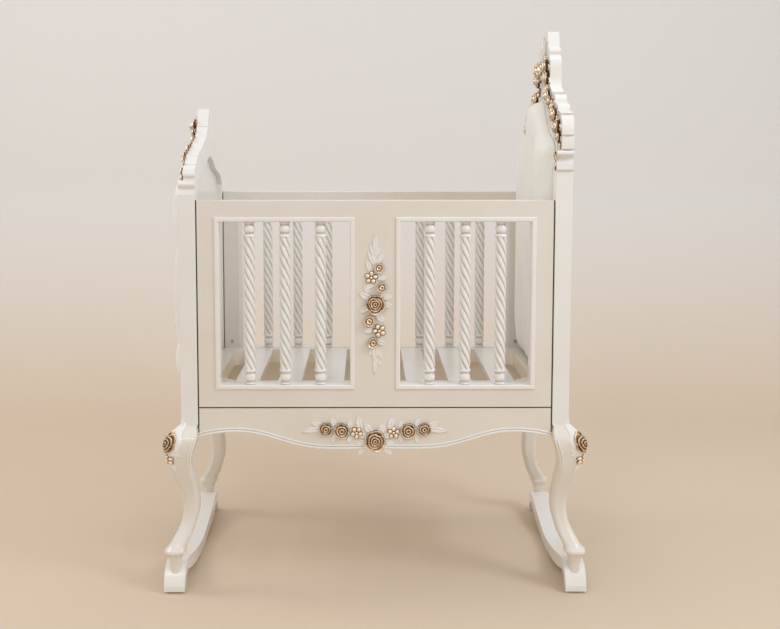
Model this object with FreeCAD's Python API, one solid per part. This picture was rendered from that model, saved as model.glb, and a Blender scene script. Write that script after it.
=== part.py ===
import FreeCAD, Part
import math
import os

# Rocking cradle with rope-twist spindles, cabriole legs and padded ends.
# Millimetres. X runs from the foot end (-) to the head end (+), -Y is the front, +Z is up.
# The origin is on the floor, under the middle of the cradle.

# Frame
inner_length = 840.0            # between the foot posts and the head posts
frame_depth = 490.0             # over the faces of the front and rear posts
post_side = 39.0
post_foot = 397.0               # height at which a post stands on its leg
foot_post_top = 930.0
head_post_top = 997.0
edge_round = 1.5
straight_share = 1e-6           # how far a straight edge may lean off its axis
overrun = 2.0                   # how far a cutting solid passes a face
fit = 0.3                       # clearance of pieces that slot together

# Side frames
side_bottom = 439.0
side_top = 929.0
side_thick = 30.0
side_setback = 3.0              # behind the face of the posts
top_rail_height = 39.0
bottom_rail_height = 42.0
end_stile_width = 43.0
centre_stile_width = 96.0
joint_line = 3.2                # open line between a side frame, its posts and its apron
joint_line_depth = 10.0

# Window mouldings
moulding_width = 11.0
moulding_proud = 3.5
moulding_round = 3.0

# Spindles
spindles_per_window = 3
spindle_radius = 13.5
spindle_end = 36.0              # turned length at each end of the twist
spindle_neck_share = 0.8
bead_shares = ((0.0, 0.14, 0.98), (0.22, 0.74, 1.0))    # start, end, radius
collar_shares = (0.80, 1.06, 1.02)                      # start, swell, shoulder radius
twist_starts = 5
twist_lead = 130.0
twist_groove = 3.0
twist_step = 24.0               # degrees between the sections of the loft
tenon_radius = 5.0
tenon_length = 9.0

# Aprons
apron_drop = 102.0              # from the top edge to the lowest point of the shaped edge
apron_thick = 22.0
apron_edge_shares = ((0.0, 0.99), (0.236, 1.0), (0.366, 0.966), (0.495, 0.843),
                     (0.669, 0.637), (0.838, 0.598), (1.0, 0.711))
bead_heights = (5.5, 4.5)       # lower bead, upper bead
bead_prouds = (4.2, 2.6)
bead_quirk = 1.0                # sunk line between the two beads
bead_section_shares = ((0.0, 0.0), (0.45, 0.0), (0.82, 0.12), (1.0, 0.34))      # proud, drawn in

# Legs: height along the leg, inner edge and outer edge from the post, roundness of the corners
leg_shares = ((1.0, 0.0, 1.0, 0.10), (0.96, 0.0, 1.42, 0.2), (0.906, 0.0, 1.76, 0.26),
              (0.842, 0.18, 1.83, 0.32), (0.742, 0.33, 1.72, 0.36), (0.62, 0.2, 1.44, 0.45),
              (0.508, 0.05, 1.12, 0.55), (0.41, 0.0, 0.99, 0.62), (0.328, 0.1, 1.03, 0.66),
              (0.231, 0.34, 1.31, 0.7), (0.152, 0.64, 1.68, 0.75), (0.106, 0.76, 2.02, 0.8))
foot_rim_shares = ((0.106, 0.76, 2.02, 0.8), (0.09, 0.75, 2.05, 0.8))
foot_neck_shares = ((0.09, 0.8, 1.98, 0.8), (0.05, 0.98, 1.82, 0.8), (0.0, 1.06, 1.74, 0.8),
                    (-0.11, 1.06, 1.74, 0.8))

# Rockers
rocker_radius = 700.0
rocker_width = 49.0
rocker_offset = 55.0            # centre line, outside the inner faces of the posts
rocker_toe = 25.4               # past the middle of a leg's foot
rocker_thick = 28.0
rocker_hump = 66.0
rocker_sole_share = 0.66        # part of the reach that follows the rocking arc
rocker_top_shares = ((0.42, 0.65), (0.70, 0.92), (0.83, 1.0), (0.91, 0.88), (0.975, 0.54), (1.0, 0.27))
rocker_toe_shares = ((0.75, 0.51), (0.82, 0.575), (0.88, 0.50), (0.93, 0.25), (0.965, 0.09), (1.0, 0.08))

# Ends
crest_thick = 28.0
foot_crest_rise = 218.0
head_crest_rise = 341.0
foot_arch_rise = 99.0
head_arch_rise = 173.0
end_panel_thick = 16.0
end_apron_top = 480.0
# Runs of the half outline of a crest: part of the half depth, part of the rise
foot_crest_shares = (
    ((1.0, 0.0), (1.0, 0.06)),
    ((1.0, 0.06), (0.98, 0.085), (0.972, 0.124)),
    ((0.972, 0.124), (1.0, 0.165), (0.972, 0.206)),
    ((0.972, 0.206), (0.957, 0.235)),
    ((0.957, 0.235), (0.984, 0.26)),
    ((0.984, 0.26), (0.96, 0.33), (0.902, 0.376), (0.784, 0.463), (0.58, 0.537), (0.408, 0.606),
     (0.233, 0.67)),
    ((0.233, 0.67), (0.2, 0.715)),
    ((0.2, 0.715), (0.127, 0.794), (0.06, 0.9), (0.0, 1.0)))
head_crest_shares = (
    ((1.0, 0.0), (1.029, 0.012)),
    ((1.029, 0.012), (1.029, 0.05)),
    ((1.029, 0.05), (1.0, 0.062), (0.992, 0.085), (1.012, 0.104)),
    ((1.012, 0.104), (1.045, 0.108)),
    ((1.045, 0.108), (1.056, 0.123), (1.045, 0.138)),
    ((1.045, 0.138), (1.02, 0.141)),
    ((1.02, 0.141), (1.02, 0.147)),
    ((1.02, 0.147), (1.047, 0.152)),
    ((1.047, 0.152), (1.05, 0.19), (1.047, 0.232)),
    ((1.047, 0.232), (1.02, 0.236)),
    ((1.02, 0.236), (1.02, 0.243)),
    ((1.02, 0.243), (1.043, 0.248)),
    ((1.043, 0.248), (1.025, 0.32), (0.972, 0.378)),
    ((0.972, 0.378), (0.95, 0.381)),
    ((0.95, 0.381), (0.95, 0.388)),
    ((0.95, 0.388), (0.967, 0.394)),
    ((0.967, 0.394), (0.9, 0.408), (0.81, 0.416)),
    ((0.81, 0.416), (0.80, 0.44), (0.765, 0.462)),
    ((0.765, 0.462), (0.7, 0.47), (0.65, 0.478)),
    ((0.65, 0.478), (0.645, 0.505), (0.61, 0.53)),
    ((0.61, 0.53), (0.46, 0.543)),
    ((0.46, 0.543), (0.475, 0.556), (0.46, 0.569)),
    ((0.46, 0.569), (0.385, 0.583)),
    ((0.385, 0.583), (0.345, 0.64), (0.35, 0.72), (0.335, 0.795)),
    ((0.335, 0.795), (0.27, 0.832)),
    ((0.27, 0.832), (0.285, 0.855), (0.27, 0.877)),
    ((0.27, 0.877), (0.225, 0.885)),
    ((0.225, 0.885), (0.2, 0.94), (0.165, 1.0)),
    ((0.165, 1.0), (0.0, 1.0)))
foot_cap_runs = 3               # runs of the outline that belong to the post cap
head_cap_runs = 5
crest_line = 1.8                # radius of the lines cut across the edge of the foot crest
foot_line_shares = ((0.902, 0.376), (0.784, 0.463), (0.408, 0.606), (0.127, 0.794))
foot_arch_shares = ((1.0, 0.0), (1.0, 0.2), (0.87, 0.44), (0.49, 0.64), (0.25, 0.86), (0.0, 1.0))
head_arch_shares = ((1.0, 0.0), (1.0, 0.25), (0.947, 0.353), (0.655, 0.468), (0.413, 0.566),
                    (0.34, 0.717), (0.228, 0.925), (0.0, 1.0))

# Pads
head_pad_crown = 44.0
foot_pad_crown = 32.0
pad_side_gap = 1.0
pad_foot_gap = 4.0              # above the end bearers
pad_groove_share = 0.28         # depth of a channel in the crown
pad_edge = 38.0                 # width of the rolled edge
pad_section_shares = ((0.0, 0.06), (0.3, 0.0), (0.65, 0.07), (0.9, 0.34), (1.0, 1.0))
head_pad_channels = 3
head_pad_arch_shares = ((1.0, 0.0), (1.0, 0.25), (0.94, 0.39), (0.7, 0.5), (0.5, 0.61), (0.37, 0.75),
                        (0.22, 0.93), (0.0, 1.0))
foot_pad_seam_shares = (0.0, 0.164, 0.595, 1.0)

# Mattress base
slat_count = 7
slat_pitch = 102.6
slat_width = 56.0
slat_thick = 12.0
slat_housing = 10.0             # length of a slat end that lies in its bearer
base_drop = 1.0                 # below the sill
bearer_height = 36.0
side_bearer_width = 21.0
end_bearer_width = 38.0         # inside the faces of the posts

# Carvings
rose_height_share = 0.5
rose_facets = 14
rose_ring_shares = ((1.0, 0.0), (1.0, 0.33), (0.62, 0.86), (0.25, 1.0))     # radius, height
leaf_edge_shares = ((0.0, 0.0), (0.2, 0.72), (0.45, 1.0), (0.72, 0.72), (1.0, 0.0))
leaf_height_share = 0.16
leaf_width_share = 0.36
garland_leaf_start_share = 0.12  # part of the way from one rose of a crest to the next
garland_leaf_end_share = 0.9
carving_stem = 4.0              # half width of the stem that ties a carving together
spray_height = 338.0
spray_foot = 76.0               # above the foot of the side frame
garland_half = 175.0
garland_axis_share = 0.48       # part of the apron drop
# Motifs: place across, place along, radius or length, direction in degrees (leaves only)
spray_rose_shares = ((0.0, 0.508, 0.073), (0.027, 0.763, 0.03), (-0.029, 0.698, 0.036),
                     (0.042, 0.629, 0.036), (-0.043, 0.39, 0.037), (0.027, 0.317, 0.036),
                     (-0.018, 0.244, 0.03))
spray_leaf_shares = ((0.0, 0.80, 0.20, 90), (0.0, 0.80, 0.14, 125), (0.0, 0.80, 0.14, 55),
                     (0.0, 0.55, 0.14, 130), (0.0, 0.55, 0.14, 50), (0.0, 0.46, 0.14, 230),
                     (0.0, 0.46, 0.14, 310), (0.0, 0.24, 0.24, 270))
garland_rose_shares = ((0.0, -0.17, 0.146), (0.25, -0.03, 0.066), (0.454, 0.0, 0.108), (0.668, 0.02, 0.082))
garland_leaf_shares = ((0.0, -0.17, 0.20, 270), (0.2, 0.0, 0.2, 80), (0.0, -0.1, 0.28, 55),
                       (0.48, 0.0, 0.22, 60), (0.48, 0.0, 0.22, 300), (0.66, 0.02, 0.34, 0))
# Roses of a crest from its middle to a post: part of the half depth, part of the rise, radius
head_rose_shares = ((0.0, 0.70, 0.106), (0.163, 0.625, 0.075), (0.327, 0.478, 0.07), (0.51, 0.375, 0.062),
                    (0.673, 0.337, 0.066), (0.816, 0.284, 0.055), (0.906, 0.19, 0.05))
foot_rose_shares = ((0.0, 0.734, 0.09), (0.184, 0.565, 0.06), (0.367, 0.468, 0.055), (0.55, 0.404, 0.055),
                    (0.727, 0.344, 0.055), (0.865, 0.285, 0.045))

# Fasteners
bolt_radius = 3.0
bolt_length = 70.0
bolt_head_radius = 7.0
bolt_head_height = 4.5
bolt_inset = 70.0               # from the ends of a stile
nut_radius = 5.0
nut_length = 22.0
nut_end = 8.0                   # from the tip of the bolt to the centre of the nut
dowel_radius = 5.0
dowel_length = 50.0
screw_radius = 3.0
screw_length = 60.0
screw_head_radius = 6.0
screw_head_height = 4.0
screw_seat = 30.0               # height of the underside of a screw head

# Places that follow from the sizes
Vector = FreeCAD.Vector
half_length = inner_length / 2
half_depth = frame_depth / 2
post_outer_x = half_length + post_side
post_inner_y = half_depth - post_side
side_face = half_depth - side_setback
side_back = side_face - side_thick
side_mid = (side_face + side_back) / 2
stile_edge = half_length - end_stile_width
centre_edge = centre_stile_width / 2
window_bottom = side_bottom + bottom_rail_height
window_top = side_top - top_rail_height
window_width = stile_edge - centre_edge
window_height = window_top - window_bottom
window_x = (stile_edge + centre_edge) / 2
sill = window_bottom + moulding_width
clear_width = window_width - 2 * moulding_width
clear_height = window_height - 2 * moulding_width
spindle_gap = (clear_width - spindles_per_window * 2 * spindle_radius) / (spindles_per_window + 1)
spindle_pitch = spindle_gap + 2 * spindle_radius
base_top = sill - base_drop
bearer_back = side_back - side_bearer_width
bearer_inner_x = half_length - end_bearer_width
crest_face = post_outer_x - crest_thick        # pad side of a crest and its panel
rocker_x = half_length + rocker_offset
leg_foot = rocker_hump
foot_centre_y = post_inner_y + sum(foot_neck_shares[-1][1:3]) / 2 * post_side
rocker_reach = foot_centre_y + rocker_toe


def block(x_span, y_span, z_span):
    """Box between pairs of limits."""
    corner = Vector(x_span[0], y_span[0], z_span[0])
    return Part.makeBox(x_span[1] - x_span[0], y_span[1] - y_span[0], z_span[1] - z_span[0], corner)


def both_ways(half):
    return (-half, half)


def lines(points):
    return [Part.LineSegment(a, b).toShape() for a, b in zip(points, points[1:])]


def spline(points):
    curve = Part.BSplineCurve()
    curve.interpolate(points)
    return curve.toShape()


def run(points):
    """A straight edge for two points, a smooth one for more."""
    return spline(points) if len(points) > 2 else lines(points)[0]


def slab(edges, sweep):
    """Solid swept straight from the face inside the edges."""
    return Part.Face(Part.Wire(Part.__sortEdges__(edges))).extrude(sweep)


def turned(shape, degrees):
    """Copy turned about the upright axis of the cradle."""
    copy = shape.copy()
    copy.rotate(Vector(), Vector(0, 0, 1), degrees)
    return copy


def moved(shape, offset):
    copy = shape.copy()
    copy.translate(offset)
    return copy


def at_corner(shape, x_sign, y_sign):
    """Copy of a head rear corner piece for any of the four corners."""
    copy = shape.copy()
    if x_sign < 0:
        copy = copy.mirror(Vector(), Vector(1, 0, 0))
    if y_sign < 0:
        copy = copy.mirror(Vector(), Vector(0, 1, 0))
    return copy


def spans(edge, axis):
    """True for a straight edge along the axis."""
    if len(edge.Vertexes) < 2:
        return False
    along = edge.Vertexes[1].Point - edge.Vertexes[0].Point
    return along.cross(axis).Length < along.Length * straight_share


def eased(shape, axis):
    """Round all straight edges along one axis."""
    return shape.makeFillet(edge_round, [edge for edge in shape.Edges if spans(edge, axis)])


def rod(radius, length, start, axis):
    return Part.makeCylinder(radius, length, start, axis)


# Fasteners and their holes
def bolt_heights():
    return (side_bottom + bolt_inset, side_top - bolt_inset)


def side_bolt(height, clearance=0.0):
    """Bolt through a head post into the rear side frame, or the hole for it."""
    start = Vector(post_outer_x, side_mid, height)
    inwards = Vector(-1, 0, 0)
    head = rod(bolt_head_radius + clearance, bolt_head_height + clearance, start, inwards)
    shank = rod(bolt_radius + clearance, bolt_length + clearance, start, inwards)
    return head.fuse(shank)


def barrel_nut(height, clearance=0.0):
    """Cross dowel that the bolt screws into, or the hole for it."""
    start = Vector(post_outer_x - bolt_length + nut_end, side_back, height)
    return rod(nut_radius + clearance, nut_length + clearance, start, Vector(0, 1, 0))


def post_dowel(height, clearance=0.0):
    """Upright dowel across a joint at one end of a post."""
    foot = height - dowel_length / 2 - clearance
    start = Vector(half_length + post_side / 2, half_depth - post_side / 2, foot)
    return rod(dowel_radius + clearance, dowel_length + 2 * clearance, start, Vector(0, 0, 1))


def rocker_screw(clearance=0.0):
    """Screw up through a rocker into the foot of a leg."""
    start = Vector(rocker_x, foot_centre_y, screw_seat)
    up = Vector(0, 0, 1)
    head = rod(screw_head_radius + clearance, screw_head_height + clearance, start, up)
    return head.fuse(rod(screw_radius + clearance, screw_length + clearance, start, up))


def screw_well():
    """Counterbore from the sole of a rocker up to the head of its screw."""
    return rod(screw_head_radius + fit, screw_seat, Vector(rocker_x, foot_centre_y, 0), Vector(0, 0, 1))


# Corner posts
def post(top):
    shape = block((half_length, post_outer_x), (post_inner_y, half_depth), (post_foot, top))
    shape = eased(shape, Vector(0, 0, 1))
    holes = [side_bolt(height, fit) for height in bolt_heights()]
    holes += [post_dowel(height, fit) for height in (post_foot, top)]
    return shape.cut(holes)


# Side frames, made for the rear and turned for the front
def end_stile():
    """Outer stile at the head end, with open joint lines along the post."""
    shape = block((stile_edge, half_length), (side_back, side_face), (side_bottom, side_top))
    groove_x = (half_length - joint_line, half_length + overrun)
    groove_z = (side_bottom - overrun, side_top + overrun)
    outer = block(groove_x, (side_face - joint_line_depth, side_face + overrun), groove_z)
    inner = block(groove_x, (side_back - overrun, side_back + joint_line_depth), groove_z)
    holes = [side_bolt(height, fit) for height in bolt_heights()]
    holes += [barrel_nut(height, fit) for height in bolt_heights()]
    return shape.cut([outer, inner] + holes)


def top_rail():
    shape = block(both_ways(stile_edge), (side_back, side_face), (window_top, side_top))
    upper = [edge for edge in shape.Edges
             if spans(edge, Vector(1, 0, 0)) and edge.BoundBox.ZMin > window_top]
    return shape.makeFillet(edge_round, upper)


def bottom_rail():
    return block(both_ways(stile_edge), (side_back, side_face), (side_bottom, window_bottom))


def centre_stile():
    return block(both_ways(centre_edge), (side_back, side_face), (window_bottom, window_top))


def moulding_strip(length, reach):
    """Mitred strip below a window centre at the origin, as far off as the reach."""
    outer = length / 2
    inner = outer - moulding_width
    inside = moulding_width - reach
    corners = [(-outer, -reach), (outer, -reach), (inner, inside), (-inner, inside)]
    points = [Vector(x, side_back, z) for x, z in corners]
    shape = slab(lines(points + points[:1]), Vector(0, side_thick + moulding_proud, 0))
    front = [edge for edge in shape.Edges
             if spans(edge, Vector(1, 0, 0)) and edge.BoundBox.YMin > side_face]
    return shape.makeFillet(moulding_round, front)


def spindle_places():
    first = -(spindles_per_window - 1) / 2
    return [(first + index) * spindle_pitch for index in range(spindles_per_window)]


def window_moulding():
    """Four mitred strips around one window, the level ones bored for the spindles."""
    level = moulding_strip(window_width, window_height / 2)
    for x in spindle_places():
        hole = rod(tenon_radius + fit, 2 * moulding_width, Vector(x, side_mid, -window_height / 2 - overrun),
                   Vector(0, 0, 1))
        level = level.cut(hole)
    upright = moulding_strip(window_height, window_width / 2)
    strips = []
    for strip, degrees in ((level, 0), (upright, 90), (level, 180), (upright, 270)):
        copy = strip.copy()
        copy.rotate(Vector(), Vector(0, 1, 0), degrees)
        strips.append(moved(copy, Vector(0, 0, (window_bottom + window_top) / 2)))
    return Part.makeCompound(strips)


def side_mouldings():
    window = window_moulding()
    places = [Vector(side * window_x, 0, 0) for side in (-1, 1)]
    return Part.makeCompound([moved(window, place) for place in places])


# Spindles
def turned_end():
    """Beads and collar between the sill and the twist, with the tenon below."""
    neck = spindle_radius * spindle_neck_share
    edges = []
    foot = Vector(neck, 0, 0)
    last = foot
    for start_share, end_share, radius_share in bead_shares:
        start = Vector(neck, 0, start_share * spindle_end)
        end = Vector(neck, 0, end_share * spindle_end)
        crest = Vector(radius_share * spindle_radius, 0, (start.z + end.z) / 2)
        if start.z > last.z:
            edges += lines([last, start])
        edges.append(Part.Arc(start, crest, end).toShape())
        last = end
    start_share, swell_share, shoulder_share = collar_shares
    collar = Vector(neck, 0, start_share * spindle_end)
    shoulder = Vector(shoulder_share * spindle_radius, 0, spindle_end)
    swell = Vector(swell_share * spindle_radius, 0, (collar.z + shoulder.z) / 2)
    edges += lines([last, collar])
    edges.append(Part.Arc(collar, swell, shoulder).toShape())
    tenon = [Vector(tenon_radius, 0, 0), Vector(tenon_radius, 0, -tenon_length), Vector(0, 0, -tenon_length)]
    edges += lines([shoulder, Vector(0, 0, spindle_end), tenon[-1]])
    edges += lines([foot] + tenon)
    face = Part.Face(Part.Wire(Part.__sortEdges__(edges)))
    return face.revolve(Vector(), Vector(0, 0, 1), 360)


def lobed_section(height, turn):
    """Closed ring of arcs, one for each start of the twist."""
    def spot(radius, step):
        angle = math.radians(turn + step * 360 / twist_starts)
        return Vector(radius * math.cos(angle), radius * math.sin(angle), height)

    groove = spindle_radius - twist_groove
    arcs = [Part.Arc(spot(groove, start), spot(spindle_radius, start + 0.5), spot(groove, start + 1))
            for start in range(twist_starts)]
    return Part.Wire([arc.toShape() for arc in arcs])


def twist():
    """Rope twist that falls to the right on the side that faces the viewer."""
    length = clear_height - 2 * spindle_end
    turn = -360 * length / twist_lead
    steps = math.ceil(abs(turn) / twist_step)
    rings = [lobed_section(spindle_end + length * step / steps, turn * step / steps)
             for step in range(steps + 1)]
    return Part.makeLoft(rings, True, False, False, 3)


def spindle():
    lower = turned_end()
    upper = lower.mirror(Vector(0, 0, clear_height / 2), Vector(0, 0, 1))
    return lower.fuse([twist(), upper])


# Aprons, made facing the rear with the span along X
def shaped_edge(half_span, top, lift, depth):
    half = [(x * half_span, top - drop * depth + lift) for x, drop in apron_edge_shares]
    points = [(-x, z) for x, z in reversed(half[1:])] + half
    return [Vector(x, 0, z) for x, z in points]


def bead(half_span, top, depth, lift, height, proud):
    """Rounded strip that follows the shaped edge, some way above it."""
    rings = []
    for out_share, inset_share in bead_section_shares:
        inset = inset_share * height
        low = shaped_edge(half_span, top, lift + inset, depth)
        high = shaped_edge(half_span, top, lift + height - inset, depth)
        ends = lines([low[-1], high[-1]]) + lines([high[0], low[0]])
        ring = Part.Wire([spline(low), ends[0], spline(high[::-1]), ends[1]])
        rings.append(moved(ring, Vector(0, out_share * proud, 0)))
    return Part.makeLoft(rings, True, True)


def apron(half_span, top, depth):
    """Board with a shaped lower edge, a double bead along it and open joint lines, its face at y = 0."""
    lower = shaped_edge(half_span, top, 0.0, depth)
    corners = [lower[-1], Vector(half_span, 0, top), Vector(-half_span, 0, top), lower[0]]
    shape = slab([spline(lower)] + lines(corners), Vector(0, -apron_thick, 0))
    lift = 0.0
    for height, proud in zip(bead_heights, bead_prouds):
        shape = shape.fuse(bead(half_span, top, depth, lift, height, proud))
        lift += height + bead_quirk
    return shape.removeSplitter()


def side_apron():
    shape = apron(half_length, side_bottom, apron_drop)
    depth = (-joint_line_depth, overrun)
    level = block(both_ways(half_length + overrun), depth, (side_bottom - joint_line, side_bottom + overrun))
    end_low = side_bottom - apron_edge_shares[-1][1] * apron_drop + sum(bead_heights)
    ends = [block((side * half_length - joint_line, side * half_length + joint_line), depth,
                  (end_low, side_bottom + overrun)) for side in (-1, 1)]
    return moved(shape.cut([level] + ends), Vector(0, side_face, 0))


def end_apron():
    depth = apron_drop + end_apron_top - side_bottom
    shape = apron(post_inner_y, end_apron_top, depth)
    shape = turned(shape, -90)
    return moved(shape, Vector(crest_face + apron_thick, 0, 0))


# Cabriole legs
def leg_section(share, inner_share, outer_share, round_share):
    """Rounded square across a leg at one height."""
    height = leg_foot + share * (post_foot - leg_foot)
    inner = inner_share * post_side
    width = (outer_share - inner_share) * post_side
    radius = round_share * width / 2
    low = Vector(half_length + inner, post_inner_y + inner, height)
    corner = radius * (1 - math.sqrt(0.5))

    def spot(x, y):
        return low + Vector(x, y, 0)

    far = width - radius
    edges = lines([spot(radius, 0), spot(far, 0)])
    edges.append(Part.Arc(spot(far, 0), spot(width - corner, corner), spot(width, radius)).toShape())
    edges += lines([spot(width, radius), spot(width, far)])
    edges.append(Part.Arc(spot(width, far), spot(width - corner, width - corner), spot(far, width)).toShape())
    edges += lines([spot(far, width), spot(radius, width)])
    edges.append(Part.Arc(spot(radius, width), spot(corner, width - corner), spot(0, far)).toShape())
    edges += lines([spot(0, far), spot(0, radius)])
    edges.append(Part.Arc(spot(0, radius), spot(corner, corner), spot(radius, 0)).toShape())
    return Part.Wire(edges)


def leg_run(shares, ruled):
    return Part.makeLoft([leg_section(*row) for row in shares], True, ruled, False, 3)


def leg():
    """Head rear leg, scribed to the rocker and trimmed where the aprons meet it."""
    shape = leg_run(leg_shares, False)
    shape = shape.fuse([leg_run(foot_rim_shares, True), leg_run(foot_neck_shares, False)])
    apron_end = side_bottom - apron_drop
    beyond = half_length + 2 * post_side
    along = block((half_length - post_side, half_length), (0, beyond), (apron_end, post_foot + overrun))
    across = block((half_length - post_side, beyond), (0, post_inner_y), (apron_end, post_foot + overrun))
    above = block((half_length - post_side, beyond), (0, beyond), (post_foot, post_foot + post_side))
    shape = shape.cut([along, across, above, rocker_blank(), post_dowel(post_foot, fit), rocker_screw(fit)])
    return max(shape.Solids, key=lambda solid: solid.Volume)


# Rockers
def rocker_blank():
    """Head rocker: a rocking arc in the middle, a hump under each leg and a toe that stops the swing."""
    def spot(pair):
        return Vector(rocker_x - rocker_width / 2, pair[0] * rocker_reach, pair[1] * rocker_hump)

    def flipped(points):
        return [Vector(point.x, -point.y, point.z) for point in reversed(points)]

    arc_end = rocker_sole_share * rocker_reach
    arc_rise = rocker_radius - math.sqrt(rocker_radius ** 2 - arc_end ** 2)
    left = rocker_x - rocker_width / 2
    top = [spot(pair) for pair in rocker_top_shares]
    toe = [Vector(left, arc_end, arc_rise)] + [spot(pair) for pair in rocker_toe_shares]
    edges = [spline(flipped(top) + [Vector(left, 0, rocker_thick)] + top)]
    edges.append(Part.Arc(Vector(left, -arc_end, arc_rise), Vector(left, 0, 0), toe[0]).toShape())
    edges += [spline(toe), spline(flipped(toe))]
    edges += lines([toe[-1], top[-1]])
    edges += lines([flipped(toe)[0], flipped(top)[0]])
    return slab(edges, Vector(rocker_width, 0, 0))


def rocker():
    hole = rocker_screw(fit).fuse(screw_well())
    return rocker_blank().cut([hole, hole.mirror(Vector(), Vector(0, 1, 0))])


# Ends, made for the head end: the pad side of a crest is at crest_face and faces the cradle
def arch_points(shares, base, rise, inset=0.0):
    """Half of an ogee arch from its springing to its peak."""
    narrow = (post_inner_y - inset) / post_inner_y
    return [Vector(crest_face, y * post_inner_y * narrow, base + z * rise - inset) for y, z in shares]


def flipped_y(points):
    return [Vector(point.x, -point.y, point.z) for point in reversed(points)]


def arch_body(shares, base, rise, inset, bottom, thick):
    """Solid with an arched head and a level foot."""
    half = arch_points(shares, base, rise, inset)
    left = flipped_y(half)
    foot = [half[0], Vector(crest_face, half[0].y, bottom), Vector(crest_face, left[-1].y, bottom), left[-1]]
    edges = [run(half[1:]), run(left[:-1])] + lines(half[:2]) + lines(left[-2:]) + lines(foot)
    return slab(edges, Vector(thick, 0, 0))


def crest(shares, line_shares, cap_runs, base, rise, arch_shares, arch_rise):
    """Crest board with an arch cut from below and a moulded cap over each post."""
    def spot(pair):
        return Vector(crest_face, pair[0] * half_depth, base + pair[1] * rise)

    half = [run([spot(pair) for pair in row]) for row in shares]
    mirrored = [edge.mirror(Vector(), Vector(0, 1, 0)) for edge in half]
    foot = spot(shares[0][0])
    edges = half + mirrored + lines([foot, Vector(foot.x, -foot.y, foot.z)])
    board = slab(edges, Vector(crest_thick, 0, 0))
    cap_top = spot(shares[cap_runs - 1][-1])
    inside = [Vector(cap_top.x, post_inner_y, cap_top.z), Vector(cap_top.x, post_inner_y, base)]
    cap = slab(half[:cap_runs] + lines([cap_top] + inside + [foot]), Vector(-post_side + crest_thick, 0, 0))
    cap_pair = [cap, cap.mirror(Vector(), Vector(0, 1, 0))]
    opening = arch_body(arch_shares, base, arch_rise, 0.0, base - overrun, crest_thick)
    dowel = post_dowel(base, fit)
    dowels = [dowel, dowel.mirror(Vector(), Vector(0, 1, 0))]
    across = [rod(crest_line, crest_thick, Vector(crest_face, side * spot(pair).y, spot(pair).z),
                  Vector(1, 0, 0)) for pair in line_shares for side in (-1, 1)]
    return board.fuse(cap_pair).cut([opening] + dowels + across)


def end_panel(arch_shares, base, arch_rise):
    return arch_body(arch_shares, base, arch_rise, fit, end_apron_top, end_panel_thick)


def pad_blank(arch_shares, base, arch_rise, crown):
    """Upholstered body with drawn-in sides and a rolled edge."""
    rings = []
    for depth_share, inset_share in pad_section_shares:
        inset = pad_side_gap + inset_share * pad_edge
        half = arch_points(arch_shares, base, arch_rise, inset)[1:]
        left = flipped_y(half)
        bottom = base_top + pad_foot_gap + inset
        corners = [Vector(crest_face, half[0].y, bottom), Vector(crest_face, -half[0].y, bottom)]
        foot = [half[0]] + corners + [left[-1]]
        ring = Part.Wire(lines(foot) + [spline(left), spline(half)])
        rings.append(moved(ring, Vector(-depth_share * crown, 0, 0)))
    return Part.makeLoft(rings, True, False, False, 3)


def pad_rolls(limits, crown, groove):
    """Outline of rolls side by side: place along, depth from the crest face."""
    back = Vector(crest_face + overrun, 0, 0)
    edges = []
    for low, high in zip(limits, limits[1:]):
        start = Vector(crest_face - crown + groove, low, 0)
        end = Vector(crest_face - crown + groove, high, 0)
        peak = Vector(crest_face - crown, (low + high) / 2, 0)
        edges.append(Part.Arc(start, peak, end).toShape())
    first = Vector(crest_face - crown + groove, limits[0], 0)
    last = Vector(crest_face - crown + groove, limits[-1], 0)
    edges += lines([first, Vector(back.x, first.y, 0), Vector(back.x, last.y, 0), last])
    return edges


def head_pad():
    """Pad with upright channels."""
    body = pad_blank(head_pad_arch_shares, head_post_top, head_arch_rise, head_pad_crown)
    step = 2 * post_inner_y / head_pad_channels
    limits = [-post_inner_y + step * index for index in range(head_pad_channels + 1)]
    rolls = slab(pad_rolls(limits, head_pad_crown, head_pad_crown * pad_groove_share),
                 Vector(0, 0, head_post_top + head_arch_rise + overrun))
    return body.common(rolls)


def foot_pad():
    """Pad with level channels, made at the head end and turned to the foot end."""
    body = pad_blank(foot_arch_shares, foot_post_top, foot_arch_rise, foot_pad_crown)
    low = base_top
    high = foot_post_top + foot_arch_rise
    limits = [low + (high - low) * share for share in foot_pad_seam_shares]
    rolls = slab(pad_rolls(limits, foot_pad_crown, foot_pad_crown * pad_groove_share),
                 Vector(0, 0, frame_depth))
    rolls.rotate(Vector(), Vector(1, 0, 0), 90)
    return body.common(moved(rolls, Vector(0, half_depth, 0)))


def outwards(shape):
    """Copy of a head end piece whose pad side faces away from the cradle at the foot end."""
    return moved(shape, Vector(-crest_face - half_length - crest_thick, 0, 0))


# Mattress base
def slat_places():
    return [(index - (slat_count - 1) / 2) * slat_pitch for index in range(slat_count)]


def slats():
    reach = bearer_back + slat_housing
    return Part.makeCompound([block((x - slat_width / 2, x + slat_width / 2), both_ways(reach),
                                    (base_top - slat_thick, base_top)) for x in slat_places()])


def side_bearer():
    """Rear bearer with a housing for the end of each slat."""
    shape = block(both_ways(half_length), (bearer_back, side_back), (base_top - bearer_height, base_top))
    depth = (bearer_back - overrun, bearer_back + slat_housing)
    housings = [block((x - slat_width / 2, x + slat_width / 2), depth,
                      (base_top - slat_thick, base_top + overrun)) for x in slat_places()]
    return shape.cut(housings)


def end_bearer():
    return block((bearer_inner_x, crest_face), both_ways(bearer_back), (base_top - bearer_height, base_top))


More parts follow.
